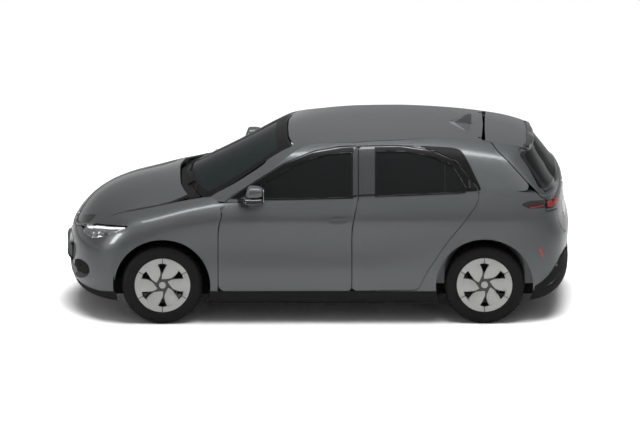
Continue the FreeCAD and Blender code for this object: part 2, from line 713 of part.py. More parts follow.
frame = frame.cut(plan_prism(grown(roof_outline, seam), 1200, 1800))
frame = frame.cut(plan_prism(grown(screen_outline, seam), 900, 1800).common(top_wall(-60, 6 + seam)))
frame = frame.cut(top_wall(-60, 60).common(plan_prism(grown(spoiler_outline, gap), 1200, 1800)))
frame = frame.cut([front_pocket, rear_pocket])
openings = []
below_belt_over = grown(below_belt, 14)
above_belt_over = grown(above_belt, 14)
for corners in (front_door_outline, rear_door_outline):
    wider = side_prism(grown(corners, gap), left_reach, inner_reach)
    openings.append(body_wall(-6, door_outer_zone).common(wider).common(side_prism(below_belt_over,
        left_reach, inner_reach)))
    openings.append(house_wall(-6, frame_depth + gap).common(wider).common(side_prism(above_belt_over,
        left_reach, inner_reach)))
    openings.append(side_prism(grown(corners, size["pocket_gap"] - size["rabbet"]), left_reach, inner_reach))
frame = frame.cut(openings)


def liner(x, y_low, y_high):
    # Cup over a wheel, with a hole in its inner wall for the axle.
    inner = size["arch_radius"] + size["liner_gap"]
    outer = inner + size["liner_thickness"]
    cup = Part.makeCylinder(outer, y_high - y_low, Vector(x, y_low, hub_z), Vector(0, 1, 0))
    cup = cup.cut(Part.makeCylinder(inner, y_high - y_low - size["liner_thickness"],
        Vector(x, y_low, hub_z), Vector(0, 1, 0)))
    cup = cup.cut(Part.makeCylinder(120, 60, Vector(x, y_high - 30, hub_z), Vector(0, 1, 0)))
    return cup.cut(block(x - 600, x + 600, -1000, -300, -200, 300))


frame = joined([frame, liner(rear_axle, -840, -620)])
frame = joined([frame] + front_leaves + rear_leaves)
outer_lamp_side = [(1730, 1062, 12), (1806, 1086, 60), (1950, 1081, 4), (1950, 1012, 4), (1806, 1026, 60)]
frame = frame.cut(body_wall(-6, 30 + seam).common(side_prism(grown(outer_lamp_side, seam), left_reach, -400)))
node("side_frame_left", frame)
node("side_frame_right", mirrored(frame))

# Front wings.
bonnet_half = [(-2098, 0, 0), (-2088, 160, 900), (-2050, 300, 300), (-1985, 412, 200), (-1895, 504, 400),
    (-1815, 551, 600),
               (-1715, 592, 900), (-1580, 623, 900), (-1420, 648, 900), (-1270, 652, 200), (-1128, 600,
                   20), (-1160, 470, 300), (-1188, 300, 600), (-1192, 0, 0)]
bonnet_outline = both_sides(bonnet_half)
wing_region = [(-862 - gap, 300, 0), (-862 - gap, 860, 600), (-806 - gap, 1062, 0), (-806 - gap, 1300, 0),
    (-1690, 1300, 0),
               (-1690, 600, 0), (-1736, 484, 0), (-1343, 484, 0), (-1000, 300, 0)]
lamp_side = [(-2050, 738, 10), (-1981, 774, 100), (-1895, 809, 200), (-1766, 842, 200), (-1640, 860, 12),
    (-1648, 845, 8),
             (-1768, 786, 200), (-1823, 750, 60), (-1966, 693, 60), (-2015, 703, 30)]
lamp_reach = -250
wing = body_wall(0, 12).common(side_prism(wing_region, left_reach, 0))
wing = wing.common(side_prism(below_belt, left_reach, 0))
front_arch = Part.makeCylinder(size["arch_radius"], 700, Vector(front_axle, -1100, hub_z), Vector(0, 1, 0))
wing = wing.cut(front_arch)
wing = wing.cut(front_swing)
wing = wing.cut(plan_prism(grown(bonnet_outline, gap), 500, 1500))
cowl_zone = both_sides([(-1240, 0, 0), (-1150, 612, 10), (-960, 704, 10), (-780, 704, 0), (-780, 0, 0)])
wing = wing.cut(plan_prism(cowl_zone, 900, 1500))
wing = wing.cut(body_wall(-20, 100).common(side_prism(grown(lamp_side, seam), left_reach, lamp_reach)))
node("front_fender_left", wing)
node("front_fender_right", mirrored(wing))

# Bonnet.
bonnet = bonnet_wall(0, size["bonnet_depth"]).common(plan_prism(bonnet_outline, 500, 1500))
bonnet_axis = Vector(-1136, 0, 1046)
bonnet_hinge_y = 560
bonnet_pins = []
bonnet_notches = []
for side in (-1, 1):
    middle = side * bonnet_hinge_y
    bonnet_pins.append(tube_along(Vector(bonnet_axis.x, middle - 26, bonnet_axis.z),
        Vector(bonnet_axis.x, middle + 26, bonnet_axis.z), size["hinge_pin_radius"]))
    bonnet_notches.append(block(bonnet_axis.x - 18, bonnet_axis.x + 60, middle - 17, middle + 17,
        bonnet_axis.z - 80, bonnet_axis.z + 15))
    for shift in (-21, 21):
        bonnet_pins.append(tube_along(Vector(bonnet_axis.x, middle + shift - 4, bonnet_axis.z),
            Vector(bonnet_axis.x, middle + shift + 4, bonnet_axis.z), 9))
        bonnet_pins.append(block(bonnet_axis.x - 9, bonnet_axis.x + 9, middle + shift - 4,
            middle + shift + 4, bonnet_axis.z, bonnet_axis.z + 22))
bonnet = bonnet.cut(bonnet_notches)
bonnet = joined([bonnet] + bonnet_pins)
node("bonnet", bonnet)

# Bumpers, lamps and the dark lower trim.
bumper_region = [(-2400, 262, 0), (-1900, 262, 0), (-1700, 290, 0), (-1700, 484 - seam, 0),
    (-1736 - seam, 484 - seam, 0), (-1690 - seam, 600, 0), (-1690 - seam, 1000, 0), (-2400, 1000, 0)]
bumper = body_wall(0, size["bumper_depth"]).common(side_prism(bumper_region, left_reach, 0))
bumper = bumper.cut(front_arch)
liner_reach = size["arch_radius"] + size["liner_gap"] + size["liner_thickness"] + seam
bumper = bumper.cut(Part.makeCylinder(liner_reach, 500, Vector(front_axle, -840 - seam, hub_z),
    Vector(0, 1, 0)))
bumper = bumper.cut(plan_prism(grown(bonnet_outline, gap), 690, 1500))
lamp_zone = side_prism(lamp_side, left_reach, lamp_reach)
lamp = body_wall(0, 70).common(lamp_zone).cut(plan_prism(grown(bonnet_outline, gap), 500, 1500))
bumper = bumper.cut(body_wall(-20, 100).common(side_prism(grown(lamp_side, seam), left_reach,
    lamp_reach + seam)))
bumper = bumper.cut(plan_prism(grown(bonnet_outline, gap), 600, 1500))
front_bumper = joined([bumper, mirrored(bumper)])
plate = block(nose, nose + 30, -260, 260, 433, 543)
plate = plate.cut(joined([body_wall(0, 200), mirrored(body_wall(0, 200))]))
front_bumper = joined([front_bumper, plate])
node("front_bumper", front_bumper)
node("headlamps", Part.makeCompound([lamp, mirrored(lamp)]))

tail_region = [(1426, 347, 0), (1640, 725, 0), (1710, 808, 200), (1731, 879, 100), (1766, 934, 60),
    (1798, 991, 20), (1950, 980, 0),
               (2400, 947, 0), (2400, 420, 0), (2100, 420, 0), (2000, 330, 0), (1790, 280, 0), (1500, 280, 0)]
rear_bumper_half = body_wall(0, size["bumper_depth"]).common(side_prism(grown(tail_region, -seam),
    left_reach, 0))
rear_bumper_half = rear_bumper_half.cut(arch)
rear_bumper_half = rear_bumper_half.cut(Part.makeCylinder(liner_reach, 300,
    Vector(rear_axle, -840 - seam, hub_z), Vector(0, 1, 0)))
rear_bumper_half = rear_bumper_half.cut(front_prism(grown(gate_zone, gap), 1950, 2400))
node("rear_bumper", joined([rear_bumper_half, mirrored(rear_bumper_half)]))

outer_lamp = body_wall(0, 30).common(side_prism(outer_lamp_side, left_reach, -400))
node("tail_lamps_outer", Part.makeCompound([outer_lamp, mirrored(outer_lamp)]))

front_low_region = [(-2400, 150, 0), (-1700, 150, 0), (-1700, 290 - seam, 0), (-1900, 262 - seam, 0),
    (-2400, 262 - seam, 0)]
front_low = body_wall(0, 30).common(side_prism(front_low_region, left_reach, 0)).cut(front_arch)
rear_low_region = [(1790 + seam, 150, 0), (2400, 150, 0), (2400, 420 - seam, 0), (2100, 420 - seam, 0),
    (2000, 330 - seam, 0), (1790 + seam, 280 - seam, 0)]
rear_low = body_wall(0, 30).common(side_prism(rear_low_region, left_reach, 0)).cut(arch)
sill_region = [(-1000, 150, 0), (1060, 150, 0), (1060, 300 - seam, 0), (-1000, 300 - seam, 0)]
sill = body_wall(0, 60).common(side_prism(sill_region, left_reach, inner_reach))
sill = sill.cut([arch, front_arch])
lower_trim = Part.makeCompound([joined([front_low, mirrored(front_low)]),
    joined([rear_low, mirrored(rear_low)]), sill, mirrored(sill)])
node("lower_trim", lower_trim)

# Mirrors.
mirror_shell = block(-655, -470, -1010, -870, 1082, 1254)
mirror_shell = rounded_edges(mirror_shell, 55, lambda edge: True)
mirror_foot = block(-700, -600, -920, -835, 1064, 1104)
mirror = joined([mirror_shell, mirror_foot])
mirror = mirror.cut([house_wall(-seam, 200), body_wall(-seam, 200)])
node("mirror_left", mirror)
node("mirror_right", mirrored(mirror))

# Wheels and tyres.
half_tyre = size["tyre_width"] / 2


def tyre_at(x, y):
    # y is the wheel's middle, outward side is the sign of y
    profile = [(size["rim_radius"] + 5, -92), (size["rim_radius"] + 18, -103), (290, -half_tyre),
        (325, -half_tyre + 6),
               (340, -half_tyre + 18), (hub_z, -half_tyre + 34), (hub_z, half_tyre - 34), (340,
                   half_tyre - 18),
               (325, half_tyre - 6), (290, half_tyre), (size["rim_radius"] + 18,
                   103), (size["rim_radius"] + 5, 92)]
    points = [Vector(x, y + across, hub_z + radius) for radius, across in profile]
    points.append(points[0])
    face = Part.Face(Part.makePolygon(points))
    return face.revolve(Vector(x, y, hub_z), Vector(0, 1, 0), 360)


def ring(x, y_low, y_high, inner, outer):
    body = Part.makeCylinder(outer, y_high - y_low, Vector(x, y_low, hub_z), Vector(0, 1, 0))
    if inner > 0:
        body = body.cut(Part.makeCylinder(inner, y_high - y_low, Vector(x, y_low, hub_z), Vector(0, 1, 0)))
    return body


def wheel_at(x, y, axle_to):
    # Left wheel: outer side towards -Y.
    barrel = ring(x, y - 96, y + 96, size["rim_radius"] - 14, size["rim_radius"] - 2)
    lip = ring(x, y - 99, y - 91, size["rim_radius"] - 14, size["cover_radius"] - 12)
    lip_in = ring(x, y + 91, y + 99, size["rim_radius"] - 14, size["rim_radius"] + 4)
    face = ring(x, y - 97, y - 80, 0, size["rim_radius"] - 8)
    holes = []
    for k in range(6):
        turn = math.radians(60 * k + 90)
        corners = []
        for reach, swing in ((92, 0), (186, -11), (194, 0), (186, 11)):
            angle = turn + math.radians(swing)
            corners.append((x + reach * math.cos(angle), hub_z + reach * math.sin(angle), 10))
        holes.append(side_prism(corners, y - 110, y - 60))
    face = face.cut(holes)
    bell = ring(x, y - 81, y + 18, 0, 70)
    disc = ring(x, y + 18, y + 18 + size["disc_thickness"], 0, size["disc_radius"])
    stub = ring(x, y + 18, axle_to, 0, size["axle_stub_radius"])
    return joined([barrel, lip, lip_in, face, bell, disc, stub])


front_y = -size["front_track"] / 2
rear_y = -size["rear_track"] / 2
for label, x, y, axle_to in (("front", front_axle, front_y, front_y + 110),
    ("rear", rear_axle, rear_y, -size["motor_length"] / 2 - 10)):
    tyre = tyre_at(x, y)
    wheel = wheel_at(x, y, axle_to)
    wheel = wheel.cut(tyre)
    node(label + "_tyre_left", tyre)
    node(label + "_tyre_right", mirrored(tyre))
    node(label + "_wheel_left", wheel)
    node(label + "_wheel_right", mirrored(wheel))

# Front knuckles with strut and caliper.
low = Vector(front_axle, -size["kingpin_low_y"], size["kingpin_low_z"])
top = Vector(front_axle, -size["kingpin_top_y"], size["kingpin_top_z"])
along = (top - low).normalize()
ball_pin_radius = 8
stub_hole = ring(front_axle, front_y + 40, front_y + 140, 0, size["axle_stub_radius"] + seam)
carrier = ring(front_axle, front_y + 58, front_y + 100, 0, 48)
upright = tube_along(low + along * 20, low + along * 260, 16)
strut = tube_along(low + along * 240, top - along * 6, size["strut_radius"])
steer_arm = block(front_axle + 10, front_axle + 130, front_y + 60, front_y + 90, 250, 276)
caliper_low = block(front_axle + 78, front_axle + 172, front_y + 48, front_y + 80, hub_z - 60, hub_z + 60)
caliper_out = block(front_axle + 156, front_axle + 172, front_y - 12, front_y + 60, hub_z - 50, hub_z + 50)
caliper_bridge = block(front_axle + 30, front_axle + 100, front_y + 62, front_y + 80, hub_z - 20, hub_z + 20)
knuckle = joined([carrier, upright, strut, steer_arm, caliper_low, caliper_out, caliper_bridge])
knuckle = knuckle.cut([stub_hole, tube_along(low, low + along * 50, ball_pin_radius + seam)])
node("front_knuckle_left", knuckle)
node("front_knuckle_right", mirrored(knuckle))

# Steering wheel.
wheel_centre = Vector(-330, -370, 925)
tilt = math.radians(24)
column = Vector(-math.cos(tilt), 0, -math.sin(tilt))
rim_ring = Part.makeTorus(size["steering_wheel_radius"] - 15, 15, wheel_centre, column)
hub = tube_along(wheel_centre - column * 14, wheel_centre + column * 60, 62)
spoke_one = tube_along(wheel_centre + Vector(0, -size["steering_wheel_radius"] + 12, 0),
    wheel_centre + Vector(0, size["steering_wheel_radius"] - 12, 0), 11)
down = Vector(math.sin(tilt), 0, -math.cos(tilt))
spoke_two = tube_along(wheel_centre, wheel_centre + down * (size["steering_wheel_radius"] - 12), 11)
shaft = tube_along(wheel_centre + column * 50, wheel_centre + column * 390, 14)
node("steering_wheel", joined([rim_ring, hub, spoke_one, spoke_two, shaft]))

# Dashboard with the column's bearing.
dash_side = [(-925, 760, 20), (-925, 990, 40), (-880, 1030, 60), (-640, 1010, 60), (-560, 930, 40),
    (-600, 800, 60), (-760, 700, 60), (-900, 700, 40)]
dash = side_prism(dash_side, -655, 655)
dash = dash.cut(tube_along(wheel_centre + column * 60, wheel_centre + column * 395, 14 + seam))
node("dashboard", dash)

# Floor with toe board, front structure and load floor.
sheet_t = size["floor_thickness"]
floor_z = size["battery_base"] + size["battery_height"] + seam
main_floor = block(-1000, 900, -770, 770, floor_z, floor_z + sheet_t)
riser = block(888, 900, -770, 770, floor_z, 470)
load_floor = block(888, 2030, -600, 600, 458, 470)
toe_board = block(-1012, -1000, -770, 770, floor_z, 980)
cowl_box = block(-1012, -960, -690, 690, 968, 980)
rails = [block(-1960, -1000, 380, 430, 400, 500), block(-1960, -1000, -430, -380, 400, 500)]
beam = block(-2030, -1950, -440, 440, 390, 500)
towers = [
    block(front_axle - 70, front_axle + 70, 430, 620, 874, 882),
    block(front_axle - 70, front_axle + 70, -620, -430, 874, 882),
    block(front_axle - 70, front_axle + 70, 430, 438, 500, 880),
    block(front_axle - 70, front_axle + 70, -438, -430, 500, 880)]
rear_beam = block(2018, 2030, -540, 540, 458, 700)
floor = joined([main_floor, riser, load_floor, toe_board, cowl_box, beam, rear_beam] + rails + towers)
wheel_room = Part.makeCylinder(size["arch_radius"] + size["liner_gap"] + 1, 420,
    Vector(front_axle, -860, hub_z), Vector(0, 1, 0))
strut_room = tube_along(low + along * 100, top + along * 60, 60)
floor = floor.cut([wheel_room, mirrored(wheel_room)])
front_liner = liner(front_axle, -840, -440)
front_liner = front_liner.common(block(-1780, -880, -860, -430, 290, 900))
floor = joined([floor, front_liner, mirrored(front_liner)])
floor = floor.cut([strut_room, mirrored(strut_room)])
node("floor_pan", floor)

# Cowl between bonnet and windscreen.
cowl_half = [(-1176, 0, 0), (-1160, 300, 900), (-1110, 560, 300), (-1060, 690, 20), (-1012, 690, 0),
    (-1012, 0, 0)]
cowl_plate = plan_prism(both_sides(cowl_half), 980 + seam, 1002)
lip_half = [(-1126, 0, 0), (-1101, 300, 900), (-1024, 560, 600), (-958, 688, 10), (-940, 688, 0),
    (-998, 560, 600), (-1075, 300, 900), (-1100, 0, 0)]
cowl_lip = plan_prism(both_sides(lip_half), 990, 1300)
cowl_lip = cowl_lip.cut(plan_prism(both_sides([(-1012, 0, 0), (-1012, 700, 0), (-900, 700, 0),
    (-900, 0, 0)]), 900, 1000))
cowl_lip = cowl_lip.common(top_wall(6 + seam, 260))
cover_half = [(-1181, 0, 0), (-1176, 300, 600), (-1146, 470, 300), (-1112, 560, 60), (-1014, 600, 20),
    (-1018, 560, 600), (-1095, 300, 900), (-1120, 0, 0)]
cowl_cover = top_wall(11, 15).common(plan_prism(both_sides(cover_half), 900, 1300))
cowl = joined([cowl_plate, cowl_lip, cowl_cover])
cowl_eyes = []
for side in (-1, 1):
    middle = side * bonnet_hinge_y
    eye = tube_along(Vector(bonnet_axis.x, middle - 12, bonnet_axis.z),
        Vector(bonnet_axis.x, middle + 12, bonnet_axis.z), 10)
    stem = block(bonnet_axis.x - 8, bonnet_axis.x + 8, middle - 12, middle + 12, bonnet_axis.z - 62,
        bonnet_axis.z)
    foot = block(bonnet_axis.x - 8, -1060, middle - 12, middle + 12, bonnet_axis.z - 62, bonnet_axis.z - 44)
    hole = tube_along(Vector(bonnet_axis.x, middle - 30, bonnet_axis.z),
        Vector(bonnet_axis.x, middle + 30, bonnet_axis.z), size["hinge_pin_radius"] + seam)
    cowl_eyes.append(joined([eye, stem, foot]).cut(hole))
cowl_room = [block(bonnet_axis.x - 18, bonnet_axis.x + 18, side * bonnet_hinge_y - 32,
    side * bonnet_hinge_y + 32, 1010, 1100) for side in (-1, 1)]
cowl = cowl.cut(cowl_room)
cowl = joined([cowl] + cowl_eyes)
node("cowl_panel", cowl)

# Battery, with its box driven from the sizes.
battery = doc.addObject("Part::Box", "battery_pack")
battery.setExpression("Length", "sizes.battery_length")
battery.setExpression("Width", "sizes.battery_width")
battery.setExpression("Height", "sizes.battery_height")
battery.setExpression("Placement.Base.x", "-900")
battery.setExpression("Placement.Base.y", "-sizes.battery_width / 2")
battery.setExpression("Placement.Base.z", "sizes.battery_base")
battery.Label = "battery_pack"
done.append(battery)

# Drive unit across the rear axle.
motor = doc.addObject("Part::Cylinder", "drive_unit")
motor.setExpression("Radius", "sizes.motor_radius")
motor.setExpression("Height", "sizes.motor_length")
motor.Placement = FreeCAD.Placement(Vector(rear_axle, -size["motor_length"] / 2, hub_z),
    FreeCAD.Rotation(Vector(1, 0, 0), -90))
motor.Label = "drive_unit"
done.append(motor)

# Subframes with their arms.
front_bar = block(front_axle - 60, front_axle + 60, -400, 400, 190, 260)
front_posts = [block(front_axle - 40, front_axle + 40, 382, 438, 255, 400 - seam),
    block(front_axle - 40, front_axle + 40, -438, -382, 255, 400 - seam)]
arm_plan = [(front_axle - 22, -390, 0), (front_axle - 22, -698, 0), (front_axle - 11, -716, 0),
    (front_axle + 11, -716, 0), (front_axle + 22, -698, 0), (front_axle + 22, -390, 0)]
arm_left = plan_prism(arm_plan, 200, 228)
ball_pin = tube_along(low - along * 4, low + along * 46, ball_pin_radius)
arm_left = joined([arm_left, ball_pin])
front_subframe = joined([front_bar, arm_left, mirrored(arm_left)] + front_posts)
node("front_subframe", front_subframe)

rear_bar = joined([block(rear_axle - 260, rear_axle - 200, -430, 430, 230, 320),
    block(rear_axle + 170, rear_axle + 230, -430, 430, 230, 320),
                   block(rear_axle - 260, rear_axle + 230, 380, 430, 240, 300), block(rear_axle - 260,
                       rear_axle + 230, -430, -380, 240, 300)])
rear_carrier = ring(rear_axle, rear_y + 50, rear_y + 160, size["axle_stub_radius"] + seam, 60)
rear_arm = block(rear_axle - 250, rear_axle - 210, -640, -400, 240, 280)
rear_link = block(rear_axle - 250, rear_axle - 10, -640, -600, 240, 294)
rear_link = rear_link.cut(ring(rear_axle, rear_y, rear_y + 200, 0, size["axle_stub_radius"] + seam))
rear_lift = [block(rear_axle - 250, rear_axle - 200, 380, 430, 300, 458 - seam),
    block(rear_axle - 250, rear_axle - 200, -430, -380, 300, 458 - seam)]
motor_cradle = joined([block(rear_axle - 205, rear_axle - 60, -60, 60, 235, 262),
    block(rear_axle + 60, rear_axle + 175, -60, 60, 235, 262)])
motor_cradle = motor_cradle.cut(ring(rear_axle, -300, 300, 0, size["motor_radius"] + seam))
rear_subframe = joined([rear_bar, motor_cradle, rear_carrier, rear_arm, rear_link, mirrored(rear_carrier),
    mirrored(rear_arm), mirrored(rear_link)] + rear_lift)
node("rear_subframe", rear_subframe)

# Seats.


def front_seat(y):
    cushion_side = [(-160, floor_z + sheet_t + seam, 10), (-190, 430, 40), (-150, 500, 60),
        (250, 470, 60), (330, 440, 40), (330, floor_z + sheet_t + seam, 10)]
    back_side = [(230, 440, 30), (330, 400, 30), (560, 1080, 60), (500, 1110, 30), (440, 1090, 40)]
    head_side = [(478, 1150, 30), (560, 1140, 30), (590, 1280, 30), (520, 1290, 30)]
    stem = tube_along(Vector(500, y, 1060), Vector(535, y, 1200), 12)
    return joined([side_prism(cushion_side, y - 250, y + 250), side_prism(back_side, y - 245, y + 245),
                   side_prism(head_side, y - 130, y + 130), stem])


node("front_seats", Part.makeCompound([front_seat(-370), front_seat(370)]))
bench_side = [(760, floor_z + sheet_t + seam, 0), (720, 500, 60), (780, 560, 60), (1170, 530, 40),
    (1310, 1080, 50), (1390, 1120, 40), (1430, 1070, 40), (1290, 470 + seam, 20),
    (888 - seam, 470 + seam, 0), (888 - seam, floor_z + sheet_t + seam, 0)]
node("rear_bench", side_prism(bench_side, -600, 600))

doc.recompute()
os.makedirs("parts", exist_ok=True)
problems = 0
for feature in done:
    state = list(feature.State)
    bad = "Invalid" in state or "Error" in state or feature.Shape.isNull() or not feature.Shape.isValid()
    if bad:
        problems += 1
        print("PROBLEM", feature.Label, state, feature.Shape.isValid())
    feature.Shape.exportStep("parts/%s.step" % feature.Label)
box = FreeCAD.BoundBox()
for feature in done:
    box.add(feature.Shape.BoundBox)
print("nodes", len(done), "problems", problems)
print("size", round(box.XMin, 1), round(box.XMax, 1), round(box.YMin, 1), round(box.YMax, 1),
    round(box.ZMin, 1), round(box.ZMax, 1))
print("front hinge", front_axis, "rear hinge", rear_axis)
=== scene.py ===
import math

import bmesh
import bpy
import numpy as np
from mathutils import Matrix, Vector
from mathutils.bvhtree import BVHTree
from mathutils.geometry import delaunay_2d_cdt


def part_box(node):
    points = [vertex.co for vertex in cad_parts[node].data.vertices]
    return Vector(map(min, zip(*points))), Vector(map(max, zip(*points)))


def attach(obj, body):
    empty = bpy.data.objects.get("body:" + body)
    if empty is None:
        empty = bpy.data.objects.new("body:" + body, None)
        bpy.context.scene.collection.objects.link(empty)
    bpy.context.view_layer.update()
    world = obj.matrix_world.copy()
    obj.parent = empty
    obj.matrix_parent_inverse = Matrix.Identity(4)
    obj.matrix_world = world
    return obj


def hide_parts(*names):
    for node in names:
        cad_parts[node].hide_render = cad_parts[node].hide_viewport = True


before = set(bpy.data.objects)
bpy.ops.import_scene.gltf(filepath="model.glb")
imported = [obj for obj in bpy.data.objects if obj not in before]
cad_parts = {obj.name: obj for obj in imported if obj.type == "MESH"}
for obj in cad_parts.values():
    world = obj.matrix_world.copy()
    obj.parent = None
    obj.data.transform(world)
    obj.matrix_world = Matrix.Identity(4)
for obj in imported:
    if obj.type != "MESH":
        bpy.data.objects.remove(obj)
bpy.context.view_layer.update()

# Main places, in metres, read from the frame.
front_tyre_low, front_tyre_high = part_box("front_tyre_left")
rear_tyre_low, rear_tyre_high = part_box("rear_tyre_left")
front_axle = (front_tyre_low.x + front_tyre_high.x) / 2
rear_axle = (rear_tyre_low.x + rear_tyre_high.x) / 2
hub_z = (front_tyre_low.z + front_tyre_high.z) / 2
tyre_radius = (front_tyre_high.z - front_tyre_low.z) / 2
front_wheel_y = -(front_tyre_low.y + front_tyre_high.y) / 2
rear_wheel_y = -(rear_tyre_low.y + rear_tyre_high.y) / 2

# Camera: a level-sided view from the left, a little from above, with no perspective.
view_lift = math.radians(15.7)
view_width = 5.504
view_centre = Vector((0.0114, 0.0, 0.749))
camera_data = bpy.data.cameras.new("photo_camera")
camera_data.type = "ORTHO"
camera_data.ortho_scale = view_width
camera = bpy.data.objects.new("photo_camera", camera_data)
camera.location = view_centre + Vector((0, -math.cos(view_lift), math.sin(view_lift))) * 9
camera.rotation_euler = (math.pi / 2 - view_lift, 0, 0)
bpy.context.scene.collection.objects.link(camera)
bpy.context.scene.camera = camera


# Node groups for effects that several finishes share.
def new_group(name, inputs, outputs):
    group = bpy.data.node_groups.new(name, "ShaderNodeTree")
    for kind, label, value in inputs:
        socket = group.interface.new_socket(label, in_out="INPUT", socket_type=kind)
        socket.default_value = value
    for kind, label in outputs:
        group.interface.new_socket(label, in_out="OUTPUT", socket_type=kind)
    inside = group.nodes.new("NodeGroupInput")
    outside = group.nodes.new("NodeGroupOutput")
    return group, inside, outside


def add(tree, kind, **values):
    made = tree.nodes.new(kind)
    for label, value in values.items():
        setattr(made, label, value)
    return made


def grain_group():
    # Fine moulded grain with soft cloudy changes of gloss and tone.
    group, inside, outside = new_group(
        "grain",
        [("NodeSocketColor", "Colour", (0.05, 0.05, 0.05, 1)), ("NodeSocketFloat", "Scale", 400.0),
         ("NodeSocketFloat", "Tone change", 0.15), ("NodeSocketFloat", "Roughness", 0.5),
         ("NodeSocketFloat", "Roughness change", 0.1)],
        [("NodeSocketColor", "Colour"), ("NodeSocketFloat", "Roughness"), ("NodeSocketFloat", "Height")])
    place = add(group, "ShaderNodeTexCoord")
    cloud = add(group, "ShaderNodeTexNoise")
    cloud.inputs["Scale"].default_value = 7.0
    cloud.inputs["Detail"].default_value = 4.0
    pits = add(group, "ShaderNodeTexVoronoi")
    shade = add(group, "ShaderNodeMapRange")
    gloss = add(group, "ShaderNodeMath", operation="MULTIPLY_ADD")
    centred = add(group, "ShaderNodeMath", operation="SUBTRACT")
    centred.inputs[1].default_value = 0.5
    tone = add(group, "ShaderNodeMath", operation="MULTIPLY_ADD")
    tone.inputs[2].default_value = 1.0
    tint = add(group, "ShaderNodeVectorMath", operation="SCALE")
    link = group.links.new
    link(place.outputs["Object"], cloud.inputs["Vector"])
    link(place.outputs["Object"], pits.inputs["Vector"])
    link(inside.outputs["Scale"], pits.inputs["Scale"])
    link(cloud.outputs["Fac"], centred.inputs[0])
    link(centred.outputs[0], tone.inputs[0])
    link(inside.outputs["Tone change"], tone.inputs[1])
    link(inside.outputs["Colour"], tint.inputs[0])
    link(tone.outputs[0], tint.inputs["Scale"])
    link(tint.outputs[0], outside.inputs["Colour"])
    link(centred.outputs[0], gloss.inputs[0])
    link(inside.outputs["Roughness change"], gloss.inputs[1])
    link(inside.outputs["Roughness"], gloss.inputs[2])
    link(gloss.outputs[0], outside.inputs["Roughness"])
    link(pits.outputs["Distance"], shade.inputs["Value"])
    link(shade.outputs["Result"], outside.inputs["Height"])
    return group


def flake_group():
    # Metallic flakes in paint, with the slight waviness of a sprayed coat.
    group, inside, outside = new_group(
        "paint_flakes",
        [("NodeSocketColor", "Colour", (0.1, 0.1, 0.1, 1)), ("NodeSocketFloat", "Flake scale", 900.0),
         ("NodeSocketFloat", "Flake strength", 0.2)],
        [("NodeSocketColor", "Colour"), ("NodeSocketFloat", "Roughness"), ("NodeSocketFloat", "Height")])
    place = add(group, "ShaderNodeTexCoord")
    flakes = add(group, "ShaderNodeTexVoronoi")
    wave = add(group, "ShaderNodeTexNoise")
    wave.inputs["Scale"].default_value = 90.0
    level = add(group, "ShaderNodeSeparateColor")
    bright = add(group, "ShaderNodeMath", operation="MULTIPLY_ADD")
    base = add(group, "ShaderNodeMath", operation="SUBTRACT")
    base.inputs[0].default_value = 1.0
    tint = add(group, "ShaderNodeVectorMath", operation="SCALE")
    rough = add(group, "ShaderNodeMath", operation="MULTIPLY_ADD")
    rough.inputs[1].default_value = 0.12
    rough.inputs[2].default_value = 0.30
    link = group.links.new
    link(place.outputs["Object"], flakes.inputs["Vector"])
    link(place.outputs["Object"], wave.inputs["Vector"])
    link(inside.outputs["Flake scale"], flakes.inputs["Scale"])
    link(flakes.outputs["Color"], level.inputs[0])
    link(inside.outputs["Flake strength"], base.inputs[1])
    link(level.outputs[0], bright.inputs[0])
    link(inside.outputs["Flake strength"], bright.inputs[1])
    link(base.outputs[0], bright.inputs[2])
    link(inside.outputs["Colour"], tint.inputs[0])
    link(bright.outputs[0], tint.inputs["Scale"])
    link(tint.outputs[0], outside.inputs["Colour"])
    link(level.outputs[1], rough.inputs[0])
    link(rough.outputs[0], outside.inputs["Roughness"])
    link(wave.outputs["Fac"], outside.inputs["Height"])
    return group


def weave_group():
    # Two crossing threads.
    group, inside, outside = new_group(
        "weave",
        [("NodeSocketColor", "Colour", (0.1, 0.1, 0.1, 1)), ("NodeSocketFloat", "Scale", 200.0)],
        [("NodeSocketColor", "Colour"), ("NodeSocketFloat", "Height")])
    place = add(group, "ShaderNodeTexCoord")
    heights = []
    for direction in ("X", "Y"):
        wave = add(group, "ShaderNodeTexWave", bands_direction=direction)
        wave.inputs["Distortion"].default_value = 1.5
        group.links.new(place.outputs["Object"], wave.inputs["Vector"])
        group.links.new(inside.outputs["Scale"], wave.inputs["Scale"])
        heights.append(wave)
    most = add(group, "ShaderNodeMath", operation="MAXIMUM")
    group.links.new(heights[0].outputs["Fac"], most.inputs[0])
    group.links.new(heights[1].outputs["Fac"], most.inputs[1])
    level = add(group, "ShaderNodeMapRange")
    level.inputs["To Min"].default_value = 0.6
    level.inputs["To Max"].default_value = 1.2
    group.links.new(most.outputs[0], level.inputs["Value"])
    tint = add(group, "ShaderNodeVectorMath", operation="SCALE")
    group.links.new(inside.outputs["Colour"], tint.inputs[0])
    group.links.new(level.outputs["Result"], tint.inputs["Scale"])
    group.links.new(tint.outputs[0], outside.inputs["Colour"])
    group.links.new(most.outputs[0], outside.inputs["Height"])
    return group


groups = {"grain": grain_group(), "flakes": flake_group(), "weave": weave_group()}


